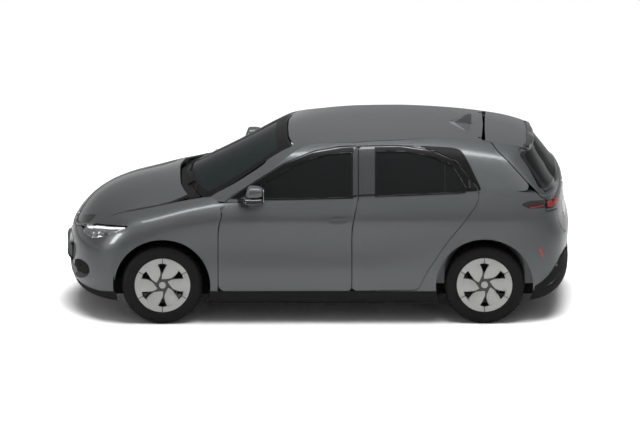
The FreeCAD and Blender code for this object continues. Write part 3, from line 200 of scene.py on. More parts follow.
def finish_of(name, effect, colour, bump=0.05, bump_depth=0.0004, settings=(), **sockets):
    made = bpy.data.materials.new(name)
    made.use_nodes = True
    tree = made.node_tree
    shader = tree.nodes["Principled BSDF"]
    for label, value in sockets.items():
        shader.inputs[label.replace("_", " ").title().replace("Ior", "IOR")].default_value = value
    source = tree.nodes.new("ShaderNodeGroup")
    source.node_tree = groups[effect]
    source.inputs["Colour"].default_value = (*colour, 1)
    for label, value in settings:
        source.inputs[label].default_value = value
    tree.links.new(source.outputs["Colour"], shader.inputs["Base Color"])
    if "Roughness" in source.outputs:
        tree.links.new(source.outputs["Roughness"], shader.inputs["Roughness"])
    relief = tree.nodes.new("ShaderNodeBump")
    relief.inputs["Strength"].default_value = bump
    relief.inputs["Distance"].default_value = bump_depth
    tree.links.new(source.outputs["Height"], relief.inputs["Height"])
    tree.links.new(relief.outputs["Normal"], shader.inputs["Normal"])
    made.use_backface_culling = False
    return made


def grained(name, colour, roughness, scale=400.0, tone=0.15, change=0.1, **more):
    settings = [("Scale", scale), ("Tone change", tone), ("Roughness", roughness),
                ("Roughness change", change)]
    return finish_of(name, "grain", colour, settings=settings, **more)


paint = finish_of("grey_metallic_paint", "flakes", (0.125, 0.135, 0.138), bump=0.04, metallic=0.75,
                  coat_weight=1.0, coat_roughness=0.05, settings=[("Flake strength", 0.22)])
gloss_black = grained("gloss_black_trim", (0.008, 0.008, 0.009), 0.08, scale=60, change=0.05, bump=0.01,
                      coat_weight=1.0)
frame_film = grained("window_frame_film", (0.004, 0.004, 0.004), 0.40, scale=200, bump=0.05,
                     specular_ior_level=0.15)
black_plastic = grained("black_moulded_plastic", (0.005, 0.005, 0.005), 0.75, scale=500, bump=0.25,
                        specular_ior_level=0.25)
window_glass = grained("dark_window_glass", (0.004, 0.005, 0.005), 0.03, scale=4, bump=0.0, change=0.02,
                       alpha=0.90, specular_ior_level=0.28)
screen_glass = grained("windscreen_glass", (0.008, 0.010, 0.010), 0.03, scale=4, bump=0.0, change=0.02,
                       alpha=0.86, specular_ior_level=0.03)
lens_clear = grained("clear_lens", (0.75, 0.77, 0.8), 0.04, scale=4, bump=0.0, change=0.02, alpha=0.07,
                     coat_weight=0.5)
lens_smoked = grained("smoked_lens", (0.01, 0.008, 0.008), 0.06, scale=40, bump=0.02, change=0.03,
                      coat_weight=1.0)
lens_red = grained("red_lens", (0.30, 0.012, 0.012), 0.15, scale=90, bump=0.3, change=0.05, coat_weight=1.0)
# White of the upper light guide and the projectors; also the painted highlight along the headlamp's lower
# edge.
lamp_white = grained("lamp_light_guide", (0.82, 0.84, 0.86), 0.2, scale=120, bump=0.2, coat_weight=1.0)
lamp_dark = grained("lamp_housing", (0.008, 0.008, 0.009), 0.35, scale=200, bump=0.2, metallic=0.3)
chrome = grained("bright_metal", (0.75, 0.76, 0.77), 0.12, scale=300, metallic=1.0, bump=0.03)
tyre_rubber = grained("tyre_rubber", (0.005, 0.005, 0.005), 0.72, scale=350, tone=0.5, bump=0.4,
                      specular_ior_level=0.25)
wheel_paint = grained("wheel_silver", (0.34, 0.34, 0.325), 0.34, scale=700, tone=0.1, bump=0.06,
                      metallic=0.45, coat_weight=0.6)
wheel_dark = grained("wheel_inner_grey", (0.055, 0.055, 0.055), 0.45, scale=500, metallic=0.5, bump=0.1)
steel = grained("machined_steel", (0.22, 0.22, 0.22), 0.38, scale=160, tone=0.4, metallic=0.8, bump=0.15)
underbody = grained("underbody_coating", (0.006, 0.006, 0.006), 0.9, scale=220, tone=0.5, bump=0.6,
                    specular_ior_level=0.08)
alloy = grained("battery_alloy", (0.33, 0.34, 0.35), 0.42, scale=240, tone=0.3, metallic=0.8, bump=0.15)
dash_skin = grained("dashboard_skin", (0.028, 0.028, 0.030), 0.6, scale=650, bump=0.4)
pillar_film = grained("pillar_film", (0.020, 0.021, 0.022), 0.16, scale=80, change=0.05, bump=0.01,
                      coat_weight=1.0)
# Darker, less metallic copy of the body paint: painted shade in the door handle cups and the tailgate's plate
# recess.
recess_shade_paint = finish_of("grey_metallic_paint_deep", "flakes", (0.075, 0.081, 0.083), bump=0.04, metallic=0.55,
                      coat_weight=1.0, coat_roughness=0.05, settings=[("Flake strength", 0.22)])
rubber = grained("seal_rubber", (0.006, 0.006, 0.006), 0.6, scale=300, bump=0.3, specular_ior_level=0.2)
grille_mesh = grained("grille_honeycomb", (0.010, 0.010, 0.010), 0.5, scale=70, bump=1.0, bump_depth=0.004)
seat_cloth = finish_of("seat_cloth", "weave", (0.045, 0.046, 0.050), bump=0.5, settings=[("Scale", 260.0)],
                       roughness=0.9)
headliner = finish_of("headlining_cloth", "weave", (0.30, 0.30, 0.29), bump=0.3, settings=[("Scale", 320.0)],
                      roughness=0.95)
carpet = finish_of("carpet", "weave", (0.020, 0.020, 0.021), bump=0.8, settings=[("Scale", 150.0)],
                   roughness=1.0)
leather = grained("steering_leather", (0.020, 0.020, 0.021), 0.5, scale=900, bump=0.4)
plate_blank = grained("blank_plate", (0.55, 0.56, 0.56), 0.4, scale=300, bump=0.05)

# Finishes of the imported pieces.
node_finish = {
    "front_door_left": paint, "front_door_right": paint, "rear_door_left": paint, "rear_door_right": paint,
    "mirror_left": paint, "mirror_right": paint, "bonnet": paint, "tailgate": paint, "side_frame_left": paint,
    "side_frame_right": paint, "roof_panel": paint, "front_fender_left": paint, "front_fender_right": paint,
    "front_bumper": paint, "rear_bumper": paint, "lower_trim": black_plastic, "cowl_panel": black_plastic,
    "windscreen": screen_glass, "rear_window": window_glass, "front_door_glass_left": window_glass,
    "front_door_glass_right": window_glass, "rear_door_glass_left": window_glass,
    "rear_door_glass_right": window_glass, "headlamps": lamp_dark, "tail_lamps_inner": lens_smoked,
    "tail_lamps_outer": lens_smoked, "steering_wheel": leather, "front_knuckle_left": steel,
    "front_knuckle_right": steel, "front_wheel_left": wheel_dark, "front_wheel_right": wheel_dark,
    "rear_wheel_left": wheel_dark, "rear_wheel_right": wheel_dark, "front_tyre_left": tyre_rubber,
    "front_tyre_right": tyre_rubber, "rear_tyre_left": tyre_rubber, "rear_tyre_right": tyre_rubber,
    "floor_pan": underbody, "battery_pack": alloy, "drive_unit": alloy, "front_subframe": steel,
    "rear_subframe": steel, "dashboard": dash_skin, "front_seats": seat_cloth, "rear_bench": seat_cloth,
}
for label, look in node_finish.items():
    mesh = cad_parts[label].data
    mesh.materials.clear()
    mesh.materials.append(look)


# Making and placing of new pieces.
def piece_from(bm, name, look, body, smooth=True, replaces=()):
    mesh = bpy.data.meshes.new(name)
    bm.to_mesh(mesh)
    bm.free()
    made = bpy.data.objects.new(name, mesh)
    bpy.context.scene.collection.objects.link(made)
    mesh.materials.append(look)
    if smooth:
        mesh.shade_smooth()
        mesh.set_sharp_from_angle(angle=math.radians(35))
    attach(made, body)
    if replaces:
        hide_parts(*replaces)
    return made


trees = {}


def tree_of(nodes):
    # Ray-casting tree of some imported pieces.
    if nodes not in trees:
        corners = []
        faces = []
        for label in nodes:
            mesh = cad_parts[label].data
            start = len(corners)
            corners.extend(v.co.copy() for v in mesh.vertices)
            faces.extend([start + i for i in face.vertices] for face in mesh.polygons)
        trees[nodes] = BVHTree.FromPolygons(corners, faces)
    return trees[nodes]


# Ways to look at the car, each with the start of a ray for a point of a flat outline and its direction.
ways = {
    "left": (lambda a, b: Vector((a, -1.3, b)), Vector((0, 1, 0))),
    "right": (lambda a, b: Vector((a, 1.3, b)), Vector((0, -1, 0))),
    "left_inside": (lambda a, b: Vector((a, -0.3, b)), Vector((0, -1, 0))),
    "right_inside": (lambda a, b: Vector((a, 0.3, b)), Vector((0, 1, 0))),
    "front": (lambda a, b: Vector((-3.0, a, b)), Vector((1, 0, 0))),
    "rear": (lambda a, b: Vector((3.0, a, b)), Vector((-1, 0, 0))),
    "top": (lambda a, b: Vector((a, b, 2.5)), Vector((0, 0, -1))),
    "under": (lambda a, b: Vector((a, b, 1.0)), Vector((0, 0, 1))),
}


def softened(points, rounds=2):
    # Corners of a closed outline cut back again and again until they read as curves.
    for _ in range(rounds):
        cut = []
        for i, point in enumerate(points):
            following = points[(i + 1) % len(points)]
            cut.append(tuple(p * 0.75 + q * 0.25 for p, q in zip(point, following)))
            cut.append(tuple(p * 0.25 + q * 0.75 for p, q in zip(point, following)))
        points = cut
    return points


def rounded(a_low, a_high, b_low, b_high, radius):
    # Rectangle with round corners, as a closed outline.
    loop = []
    corners = ((a_high - radius, b_high - radius), (a_low + radius, b_high - radius),
               (a_low + radius, b_low + radius), (a_high - radius, b_low + radius))
    for quarter, (a, b) in enumerate(corners):
        for k in range(6):
            turn = math.radians(90 * quarter + 18 * k)
            loop.append((a + radius * math.cos(turn), b + radius * math.sin(turn)))
    return loop


def both_halves(points):
    # Closed outline from the points of its left half; the second value of each point turns its sign.
    return [(a, -b) for a, b in points] + [(a, b) for a, b in reversed(points) if b > 0]


def band(points, width):
    # Closed outline of a strip along an open line, in millimetres.
    sides = ([], [])
    for i, point in enumerate(points):
        before = points[max(i - 1, 0)]
        after = points[min(i + 1, len(points) - 1)]
        run = Vector((after[0] - before[0], after[1] - before[1])).normalized()
        for side, turn in zip(sides, (1, -1)):
            side.append((point[0] - run.y * width / 2 * turn, point[1] + run.x * width / 2 * turn))
    return sides[0] + sides[1][::-1]


def inside(loop, a, b):
    # Even-odd test of many points against a closed outline.
    found = np.zeros(len(a), bool)
    for (a0, b0), (a1, b1) in zip(loop, loop[1:] + loop[:1]):
        if b0 != b1:
            found ^= ((b0 > b) != (b1 > b)) & (a < (a1 - a0) * (b - b0) / (b1 - b0) + a0)
    return found


def flat_mesh(keep, drop, cell):
    """Triangles that fill what lies in all outlines of keep and in none of drop, in millimetres."""
    points = []
    edges = []
    for loop in keep + drop:
        ring = []
        for (a0, b0), (a1, b1) in zip(loop, loop[1:] + loop[:1]):
            steps = max(1, round(math.hypot(a1 - a0, b1 - b0) / cell))
            ring += [(a0 + (a1 - a0) * k / steps, b0 + (b1 - b0) * k / steps) for k in range(steps)]
        start = len(points)
        points += ring
        edges += [(start + k, start + (k + 1) % len(ring)) for k in range(len(ring))]

    def kept(a, b):
        found = np.ones(len(a), bool)
        for loop in keep:
            found &= inside(loop, a, b)
        for loop in drop:
            found &= ~inside(loop, a, b)
        return found

    border = np.array(points)
    low = np.min(keep[0], axis=0)
    high = np.max(keep[0], axis=0)
    rows, columns = np.meshgrid(np.arange(low[0] + cell, high[0], cell),
                                np.arange(low[1] + cell, high[1], cell))
    grid = np.column_stack((rows.ravel(), columns.ravel()))
    for place in grid[kept(grid[:, 0], grid[:, 1])]:
        if np.abs(border - place).sum(axis=1).min() > 0.5 * cell:
            points.append(tuple(place))
    corners, _, faces, _, _, _ = delaunay_2d_cdt([Vector(q) for q in points], edges, [], 0, 0.01)
    middles = np.array([sum((corners[k] for k in face), Vector((0, 0))) / len(face) for face in faces])
    return corners, [face for face, used in zip(faces, kept(middles[:, 0], middles[:, 1])) if used]


def surface_point(tree, way, a, b):
    """Where a ray meets the surface; over a shut gap the depth is that of the surface beside it."""
    start, direction = ways[way]
    found = []
    for shift_a, shift_b in ((0, 0), (9, 0), (-9, 0), (0, 9), (0, -9)):
        origin = start((a + shift_a) / 1000, (b + shift_b) / 1000)
        hit, normal, _, depth = tree.ray_cast(origin, direction)
        far_side = hit is not None and abs(origin.y) > 1 and hit.y * origin.y < 0
        found.append((9.0, None) if hit is None or far_side else (depth, normal))
    nearest = min(found, key=lambda one: one[0])
    if nearest[1] is None:
        return None, None
    depth, normal = found[0] if found[0][0] - nearest[0] < 0.022 else nearest
    return start(a / 1000, b / 1000) + direction * depth, normal


def patch(name, keep, way, nodes, look, body, slot, drop=(), lift=1.5, thick=2.5, cell=28, soft=0,
          replaces=()):
    """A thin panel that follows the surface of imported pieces, cut to outlines given in millimetres."""
    keep = [keep] if isinstance(keep[0][0], (int, float)) else list(keep)
    keep = [softened(loop, soft) if soft else list(loop) for loop in keep]
    start, direction = ways[way]
    tree = tree_of(tuple(nodes))
    corners, faces = flat_mesh(keep, [list(loop) for loop in drop], cell)
    bm = bmesh.new()
    layer = bm.verts.layers.int.new("order")
    made = {}
    normals = {}
    last = None
    for face in faces:
        for k in face:
            if k in made:
                continue
            hit, normal = surface_point(tree, way, corners[k].x, corners[k].y)
            if hit is None:
                origin = start(corners[k].x / 1000, corners[k].y / 1000)
                reach = origin + direction * ((last - origin).dot(direction) if last else 2.0)
                hit, normal, _, _ = tree.find_nearest(reach)
            last = hit
            made[k] = bm.verts.new(hit)
            normals[made[k]] = -normal if normal.dot(direction) > 0 else normal
    for face in faces:
        bm.faces.new([made[k] for k in face])
    average = {}
    for v in bm.verts:
        total = normals[v].copy()
        for edge in v.link_edges:
            total += normals[edge.other_vert(v)]
        average[v] = total.normalized()
    order = list(average)
    for v in order:
        v.co += average[v] * lift / 1000
    shifts = [average[v] * thick / 1000 for v in order]
    for k, v in enumerate(order):
        v[layer] = k
    grown = bmesh.ops.extrude_face_region(bm, geom=bm.faces[:])
    for v in grown["geom"]:
        if isinstance(v, bmesh.types.BMVert):
            v.co -= shifts[v[layer]]
    bmesh.ops.recalc_face_normals(bm, faces=bm.faces[:])
    bm.verts.layers.int.remove(layer)
    return piece_from(bm, name, look, body, replaces=replaces)


def both(name, outline, nodes, look, body, slot, inside=False, **more):
    """The same patch on the left and right side of the car."""
    tail = "_inside" if inside else ""
    for side in ("left", "right"):
        named = [n.replace("SIDE", side) for n in nodes]
        patch(name + "_" + side, outline, side + tail, named, look, body.replace("SIDE", side), slot, **more)


def spun(profile, centre, steps=96, across=Vector((0, 1, 0))):
    # Turned shape about a wheel's axle; the profile gives radius and offset along the axle.
    bm = bmesh.new()
    ring = [bm.verts.new(centre + Vector((0, offset, radius))) for radius, offset in profile]
    edges = [bm.edges.new((a, b)) for a, b in zip(ring, ring[1:])]
    bmesh.ops.spin(bm, geom=ring + edges, cent=centre, axis=across, angle=math.tau, steps=steps,
                   use_merge=True)
    bmesh.ops.remove_doubles(bm, verts=bm.verts[:], dist=0.00002)
    bmesh.ops.recalc_face_normals(bm, faces=bm.faces[:])
    return bm


# Tyres with grooves round the tread and narrow cross cuts at the shoulders.
def tyre(name, centre, body, node):
    half = 0.1075
    section = [(0.233, -0.092), (0.240, -0.101), (0.247, -0.1045), (0.262, -0.1062), (0.290, -half),
               (0.312, -0.1055), (0.327, -0.1000), (0.337, -0.0915), (0.3425, -0.0820), (0.3448, -0.0720)]
    tread = []
    for low, high in ((-0.070, -0.048), (-0.042, -0.006), (0.000, 0.006), (0.006, 0.042), (0.048, 0.070)):
        crown = tyre_radius - 0.0003 - 0.35 * max(low * low, high * high)
        if not tread or tread[-1][1] < low - 0.001:
            if tread:
                tread.append((crown - 0.0065, tread[-1][1] + 0.0006))
                tread.append((crown - 0.0065, low - 0.0006))
        tread.append((crown, low))
        tread.append((crown, high))
    section = section + tread + [(radius, -offset) for radius, offset in reversed(section)]
    section += [(0.231, 0.088), (0.231, -0.088), (0.233, -0.092)]
    steps = 360
    bm = spun(section, centre, steps)
    for v in bm.verts:
        arm = v.co - centre
        radius = math.hypot(arm.x, arm.z)
        if radius > 0.335 and abs(arm.y) > 0.047:
            turn = round(math.degrees(math.atan2(arm.z, arm.x)) + (2 if arm.y > 0 else 0))
            if turn % 5 == 0:
                scale = 1 - 0.0050 / radius
                v.co.x = centre.x + arm.x * scale
                v.co.z = centre.z + arm.z * scale
    return piece_from(bm, name, tyre_rubber, body, replaces=(node,))


# Wheel covers: six crowned blades with dark windows between them, a lip and a plain cap.
def wheel_cover(name, centre, outward, body):
    blade_inner = 0.034
    window_start = 0.092
    window_end = 0.188
    blade_outer = 0.2385
    rows = (blade_inner, 0.040, 0.047, 0.055, 0.064, 0.074, 0.083, window_start, 0.098, 0.106, 0.115, 0.125,
            0.135, 0.145, 0.155, 0.165, 0.174, 0.182, window_end, 0.191, 0.194, 0.200, 0.210, 0.220, 0.230,
            blade_outer)
    whole = bmesh.new()
    for k in range(6):
        middle = math.radians(60 * k + 120)
        bm = bmesh.new()
        bmesh.ops.create_grid(bm, x_segments=len(rows) - 1, y_segments=12, size=1.0)
        for v in bm.verts:
            radius = rows[round((v.co.x + 1) / 2 * (len(rows) - 1))]
            share = (radius - blade_inner) / (blade_outer - blade_inner)
            margin = 0.0034 / radius
            if radius > window_start:
                opened = min(1, (radius - window_start) / (window_end - window_start))
                margin += math.radians(11.5) * opened ** 0.9
            if radius > window_end:
                margin -= math.radians(11.5) * min(1, (radius - window_end) / 0.006)
            half = math.radians(30) - margin
            swirl = 0.22 * (1 - share) ** 3
            turn = middle + half * v.co.y + swirl
            crown = 0.0085 * (1 - v.co.y ** 2) * min(1, share * 3) + 0.004 * math.sin(math.pi * share)
            tilt = 0.0035 * (1 - min(1, max(0, radius - window_end) / 0.006))
            depth = 0.0985 + crown + tilt * v.co.y - 0.008 * (1 - share) ** 2
            v.co = centre + Vector((radius * math.cos(turn), outward * depth, radius * math.sin(turn)))
        faces = bmesh.ops.extrude_face_region(bm, geom=bm.faces[:])
        for g in faces["geom"]:
            if isinstance(g, bmesh.types.BMVert):
                g.co.y -= outward * 0.012
        bmesh.ops.recalc_face_normals(bm, faces=bm.faces[:])
        mesh = bpy.data.meshes.new("blade")
        bm.to_mesh(mesh)
        bm.free()
        whole.from_mesh(mesh)
        bpy.data.meshes.remove(mesh)
    lip = [(0.2365, 0.090), (0.2375, 0.0985), (0.240, 0.1005), (0.2435, 0.1000), (0.2455, 0.0965),
           (0.2440, 0.088), (0.2365, 0.088), (0.2365, 0.090)]
    cap = [(0.0, 0.1010), (0.018, 0.1005), (0.028, 0.0985), (0.0325, 0.0945), (0.0335, 0.088), (0.0, 0.088)]
    for profile in (lip, cap):
        bm = spun([(radius, offset * outward) for radius, offset in profile], centre, 72)
        mesh = bpy.data.meshes.new("ring")
        bm.to_mesh(mesh)
        bm.free()
        whole.from_mesh(mesh)
        bpy.data.meshes.remove(mesh)
    return piece_from(whole, name, wheel_paint, body)


for axle, x, half in (("front", front_axle, front_wheel_y), ("rear", rear_axle, rear_wheel_y)):
    for side, outward in (("left", -1), ("right", 1)):
        centre = Vector((x, outward * half, hub_z))
        wheel_body = axle + "_wheel_" + side
        tyre(axle + "_tread_tyre_" + side, centre, wheel_body, axle + "_tyre_" + side)
        wheel_cover(axle + "_wheel_cover_" + side, centre, outward, wheel_body)

# Outlines of the doors and windows from the side, in millimetres.
window_band = softened([
    (-831, 1102), (-737, 1180), (-591, 1274), (-401, 1383), (-247, 1456), (-161, 1479), (11, 1503),
    (226, 1519), (527, 1527), (871, 1522), (1043, 1513), (1180, 1502), (1240, 1476), (1301, 1380),
    (1344, 1295), (1391, 1209), (1396, 1178), (1267, 1172), (1043, 1164), (493, 1146), (312, 1136),
    (-161, 1112), (-487, 1103)], 1)
front_door_edge = [
    (-862, 300), (-862, 860), (-806, 1074), (-560, 1236), (-300, 1388), (-60, 1472), (200, 1512), (338, 1519),
    (338, 1120), (312, 980), (282, 860), (282, 303)]
rear_door_edge = [
    (286, 303), (286, 860), (316, 980), (342, 1120), (342, 1519), (700, 1520), (980, 1486), (1180, 1408),
    (1290, 1290), (1366, 1200), (1366, 1110), (1215, 880), (1095, 730), (930, 480), (850, 314)]
front_glass_edge = [
    (-684, 1102), (-400, 1270), (-270, 1340), (-160, 1393), (-50, 1430), (60, 1456), (180, 1472), (288, 1478),
    (290, 1120), (-200, 1108)]
rear_glass_edge = [
    (492, 1132), (492, 1481), (640, 1482), (760, 1479), (880, 1464), (980, 1441), (1070, 1409), (1145, 1370),
    (1205, 1285), (1266, 1188), (1256, 1166)]


def grown(loop, by):
    # Outline moved outward by a distance; the loop may run either way round.
    area = sum(a0 * b1 - a1 * b0 for (a0, b0), (a1, b1) in zip(loop, loop[1:] + loop[:1]))
    turn = by if area > 0 else -by
    moved = []
    for i, (a, b) in enumerate(loop):
        before = Vector(loop[i]) - Vector(loop[i - 1])
        after = Vector(loop[(i + 1) % len(loop)]) - Vector(loop[i])
        first = Vector((before.y, -before.x)).normalized()
        second = Vector((after.y, -after.x)).normalized()
        shift = (first + second) * turn / max(0.5, 1 + first.dot(second))
        moved.append((a + shift.x, b + shift.y))
    return moved


# Black covers round the windows: on the body behind the front door, and on each door outside its pane.
both("window_band_body", window_band, ["side_frame_SIDE"], frame_film, "body", "black_plastic",
     drop=[[(-900, 1080), (330, 1080), (330, 1700), (-900, 1700)], grown(rear_door_edge, 9)],
     lift=3.5, thick=6, cell=10)
both("window_band_front", [window_band, grown(front_door_edge, -2)],
     ["front_door_SIDE", "front_door_glass_SIDE"], frame_film, "front_door_SIDE", "black_plastic",
     drop=[grown(front_glass_edge, 5)], lift=2.5, thick=5, cell=10)
both("window_band_rear", [window_band, grown(rear_door_edge, -2)], ["rear_door_SIDE", "rear_door_glass_SIDE"],
     frame_film, "rear_door_SIDE", "black_plastic", drop=[grown(rear_glass_edge, 5)], lift=2.5, thick=5,
     cell=10)
pillar_front = [(300, 1140), (335, 1142), (335, 1600), (300, 1600)]
pillar_rear = [(345, 1144), (482, 1150), (482, 1600), (345, 1600)]
belt_front = [(-700, 1097), (-400, 1103), (-100, 1110), (150, 1122), (330, 1133)]
belt_rear = [(347, 1135), (493, 1143), (800, 1153), (1043, 1161), (1262, 1168)]
for label, door_edge, glass_edge, pillar, belt in (
        ("front", front_door_edge, front_glass_edge, pillar_front, belt_front),
        ("rear", rear_door_edge, rear_glass_edge, pillar_rear, belt_rear)):
    door = label + "_door_SIDE"
    pane = label + "_door_glass_SIDE"
    both("pillar_cover_" + label, [pillar, grown(door_edge, -3), window_band], [door], pillar_film, door,
         "black_plastic", lift=3.2, thick=4, cell=24)
    # Rubber seals along the belt and round the pane.
    both("belt_seal_" + label, band(belt, 12), [door], rubber, door, "black_plastic", lift=3.5, thick=5)
    both("pane_seal_" + label, [grown(glass_edge, 7)], [door, pane], rubber, door, "black_plastic",
         drop=[grown(glass_edge, -6)], lift=3.2, thick=6, cell=12)
# Seals on the body's flange behind the shut gaps of the upper doors.
for label, edge in (("front", front_door_edge), ("rear", rear_door_edge)):
    both("flange_seal_" + label, [grown(edge, 5), [(-900, 1090), (1500, 1090), (1500, 1700), (-900, 1700)]],
         ["side_frame_SIDE"], rubber, "body", "black_plastic", drop=[grown(edge, -24)], lift=1, thick=2,
         cell=16)
both("pane_divider", band([(1085, 1414), (1090, 1164)], 16), ["rear_door_glass_SIDE"], rubber,
     "rear_door_SIDE", "black_plastic", lift=1.6, thick=3)


# Mirrors: crowned cap over a black lower shell, a foot on the door and a glass that faces back.
def mirror(side, sign):
    low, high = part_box("mirror_" + side)
    middle = Vector((high.x - 0.0925, sign * 0.940, high.z - 0.088))
    half = Vector((0.0925, 0.070, 0.086))

    def shell(name, look, bottom, top, swell):
        bm = bmesh.new()
        bmesh.ops.create_uvsphere(bm, u_segments=64, v_segments=32, radius=1.0)
        for v in bm.verts:
            x, y, z = (math.copysign(abs(part) ** 0.74, part) for part in v.co)
            lift = (z + 1) / 2
            height = bottom + (top - bottom) * lift
            nose = 1 - 0.34 * max(0, height + 0.6) * max(0, -x)
            v.co = middle + Vector((x * half.x * nose * swell, y * half.y * swell, height * half.z))
        piece_from(bm, name + side, look, "front_door_" + side,
                   replaces=("mirror_" + side,) if look is paint else ())

    shell("mirror_cap_", paint, -0.22, 0.99, 0.99)
    shell("mirror_line_", chrome, -0.36, -0.16, 1.0)
    shell("mirror_shell_", gloss_black, -0.99, -0.20, 0.97)
    glass = bmesh.new()
    bmesh.ops.create_circle(glass, cap_ends=True, segments=48, radius=1.0)
    for v in glass.verts:
        a, b = (math.copysign(abs(part) ** 0.6, part) for part in v.co.xy)
        v.co = middle + Vector((half.x * 0.975, a * half.y * 0.80, half.z * (0.02 + 0.74 * b)))
    grown_glass = bmesh.ops.extrude_face_region(glass, geom=glass.faces[:])
    for v in grown_glass["geom"]:
        if isinstance(v, bmesh.types.BMVert):
            v.co.x -= 0.004
    bmesh.ops.recalc_face_normals(glass, faces=glass.faces[:])
    piece_from(glass, "mirror_glass_" + side, chrome, "front_door_" + side)
    foot = bmesh.new()
    rings = []
    for share in (0.0, 0.35, 0.7, 1.0):
        centre = Vector((middle.x - 0.085 + 0.03 * share, sign * (0.838 + 0.090 * share),
                         low.z + 0.020 + 0.022 * share))
        width = 0.055 - 0.018 * share
        deep = 0.018 - 0.003 * share
        rings.append([foot.verts.new(centre + Vector((width * math.cos(t), 0, deep * math.sin(t))))
                      for t in (math.tau * k / 24 for k in range(24))])
    for first, second in zip(rings, rings[1:]):
        for k in range(24):
            foot.faces.new((first[k], first[(k + 1) % 24], second[(k + 1) % 24], second[k]))
    foot.faces.new(rings[0])
    foot.faces.new(rings[-1])
    bmesh.ops.recalc_face_normals(foot, faces=foot.faces[:])
    piece_from(foot, "mirror_foot_" + side, black_plastic, "front_door_" + side)


mirror("left", -1)
mirror("right", 1)

# Pull handles: a long bar over a shallow cup in front, the cup painted darker as painted shade, and a grip in
# the black corner of the rear door.
handle = softened([(44, 922), (40, 934), (46, 948), (160, 957), (262, 962), (276, 954), (276, 940),
                   (262, 932), (160, 929)], 1)
cup = softened([(96, 903), (80, 930), (120, 962), (190, 968), (240, 958), (256, 930), (232, 905), (160, 895)],
               2)
both("handle_cup", cup, ["front_door_SIDE"], recess_shade_paint, "front_door_SIDE", "body_paint", lift=0.8, thick=2,
     cell=12)
both("handle_bar", handle, ["front_door_SIDE"], paint, "front_door_SIDE", "body_paint", lift=17, thick=9,
     cell=12)
both("handle_foot", softened([(46, 926), (46, 944), (86, 948), (86, 930)], 1), ["front_door_SIDE"], paint,
     "front_door_SIDE", "body_paint", lift=9, thick=9, cell=12)
both("handle_end", softened([(240, 934), (240, 958), (272, 956), (272, 936)], 1), ["front_door_SIDE"], paint,
     "front_door_SIDE", "body_paint", lift=9, thick=9, cell=12)
grip = softened([(1292, 1190), (1284, 1262), (1300, 1300), (1338, 1232), (1350, 1192)], 1)
both("rear_grip_cup", grip, ["rear_door_SIDE"], black_plastic, "rear_door_SIDE", "black_plastic", lift=3.2,
     thick=3, cell=12)
both("rear_grip_bar", band([(1300, 1200), (1294, 1262)], 16), ["rear_door_SIDE"], gloss_black,
     "rear_door_SIDE", "black_plastic", lift=8, thick=5, cell=10)

# Headlamps: dark bowl, an upper light guide, a white strip along the lower edge that is a painted highlight,
# two projectors and a clear lens in front.
lamp_edge = softened([(-2036, 712), (-1984, 771), (-1881, 806), (-1752, 836), (-1655, 852), (-1648, 838),
                      (-1726, 806), (-1777, 768), (-1838, 724), (-1915, 699), (-1990, 697)], 1)
both("lamp_bowl", lamp_edge, ["headlamps"], lamp_dark, "body", "lamp_clear", lift=-26, thick=4, cell=20)
both("lamp_wall", lamp_edge, ["headlamps"], lamp_dark, "body", "lamp_clear", drop=[grown(lamp_edge, -3)],
     lift=-2, thick=26, cell=20)
both("lamp_top_guide", band([(-1990, 758), (-1881, 797), (-1752, 827), (-1668, 843)], 13), ["headlamps"],
     lamp_white, "body", "lamp_clear", lift=-3, thick=10, cell=14)
# White strip along the lamp's lower edge: painted highlight of the bumper's top edge.
low_edge_highlight = [(-1950, 705), (-1880, 712), (-1838, 731), (-1780, 773), (-1730, 806), (-1668, 834)]
both("lamp_low_guide", band(low_edge_highlight, 10), ["headlamps"], lamp_white, "body", "lamp_clear", lift=-3,
     thick=10, cell=14)
both("lamp_rear_reflector", softened([(-1840, 752), (-1800, 800), (-1730, 814), (-1770, 772)], 1),
     ["headlamps"], chrome, "body", "lamp_clear", lift=-14, thick=6, cell=12)
both("lamp_middle_step", softened([(-1960, 715), (-1930, 770), (-1850, 790), (-1870, 722)], 1), ["headlamps"],
     black_plastic, "body", "lamp_clear", lift=-18, thick=6, cell=12)
both("lamp_lens", lamp_edge, ["headlamps"], lens_clear, "body", "lamp_clear", lift=0.4, thick=2, cell=16)
for side, sign in (("left", -1), ("right", 1)):
    for k, (a, b, radius) in enumerate(((-1948, 738, 13), (-1900, 757, 14))):
        hit, normal, _, _ = tree_of(("headlamps",)).ray_cast(Vector((a / 1000, sign * 1.3, b / 1000)),
                                                             Vector((0, -sign, 0)))
        lens_bm = bmesh.new()
        bmesh.ops.create_uvsphere(lens_bm, u_segments=32, v_segments=16, radius=radius / 1000)
        for v in lens_bm.verts:
            v.co = hit - normal * 0.024 + Vector((v.co.x, v.co.y * 0.6, v.co.z))
        piece_from(lens_bm, "lamp_projector_%s_%d" % (side, k), lamp_white, "body")
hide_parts("headlamps")

# Dark side walls of the undertray, which close the view below the wheel liners.
for label, middle in (("front", front_axle), ("rear", rear_axle)):
    for side, sign in (("left", -1), ("right", 1)):
        for end, shift in (("a", -0.275), ("b", 0.275)):
            wall = bmesh.new()
            bmesh.ops.create_cube(wall, size=1.0,
                                  matrix=Matrix.Translation((middle + shift, sign * 0.449, 0.232))
                                  @ Matrix.Diagonal((0.30, 0.006, 0.15, 1)))
            piece_from(wall, "tray_wall_%s_%s_%s" % (label, side, end), underbody, "body")

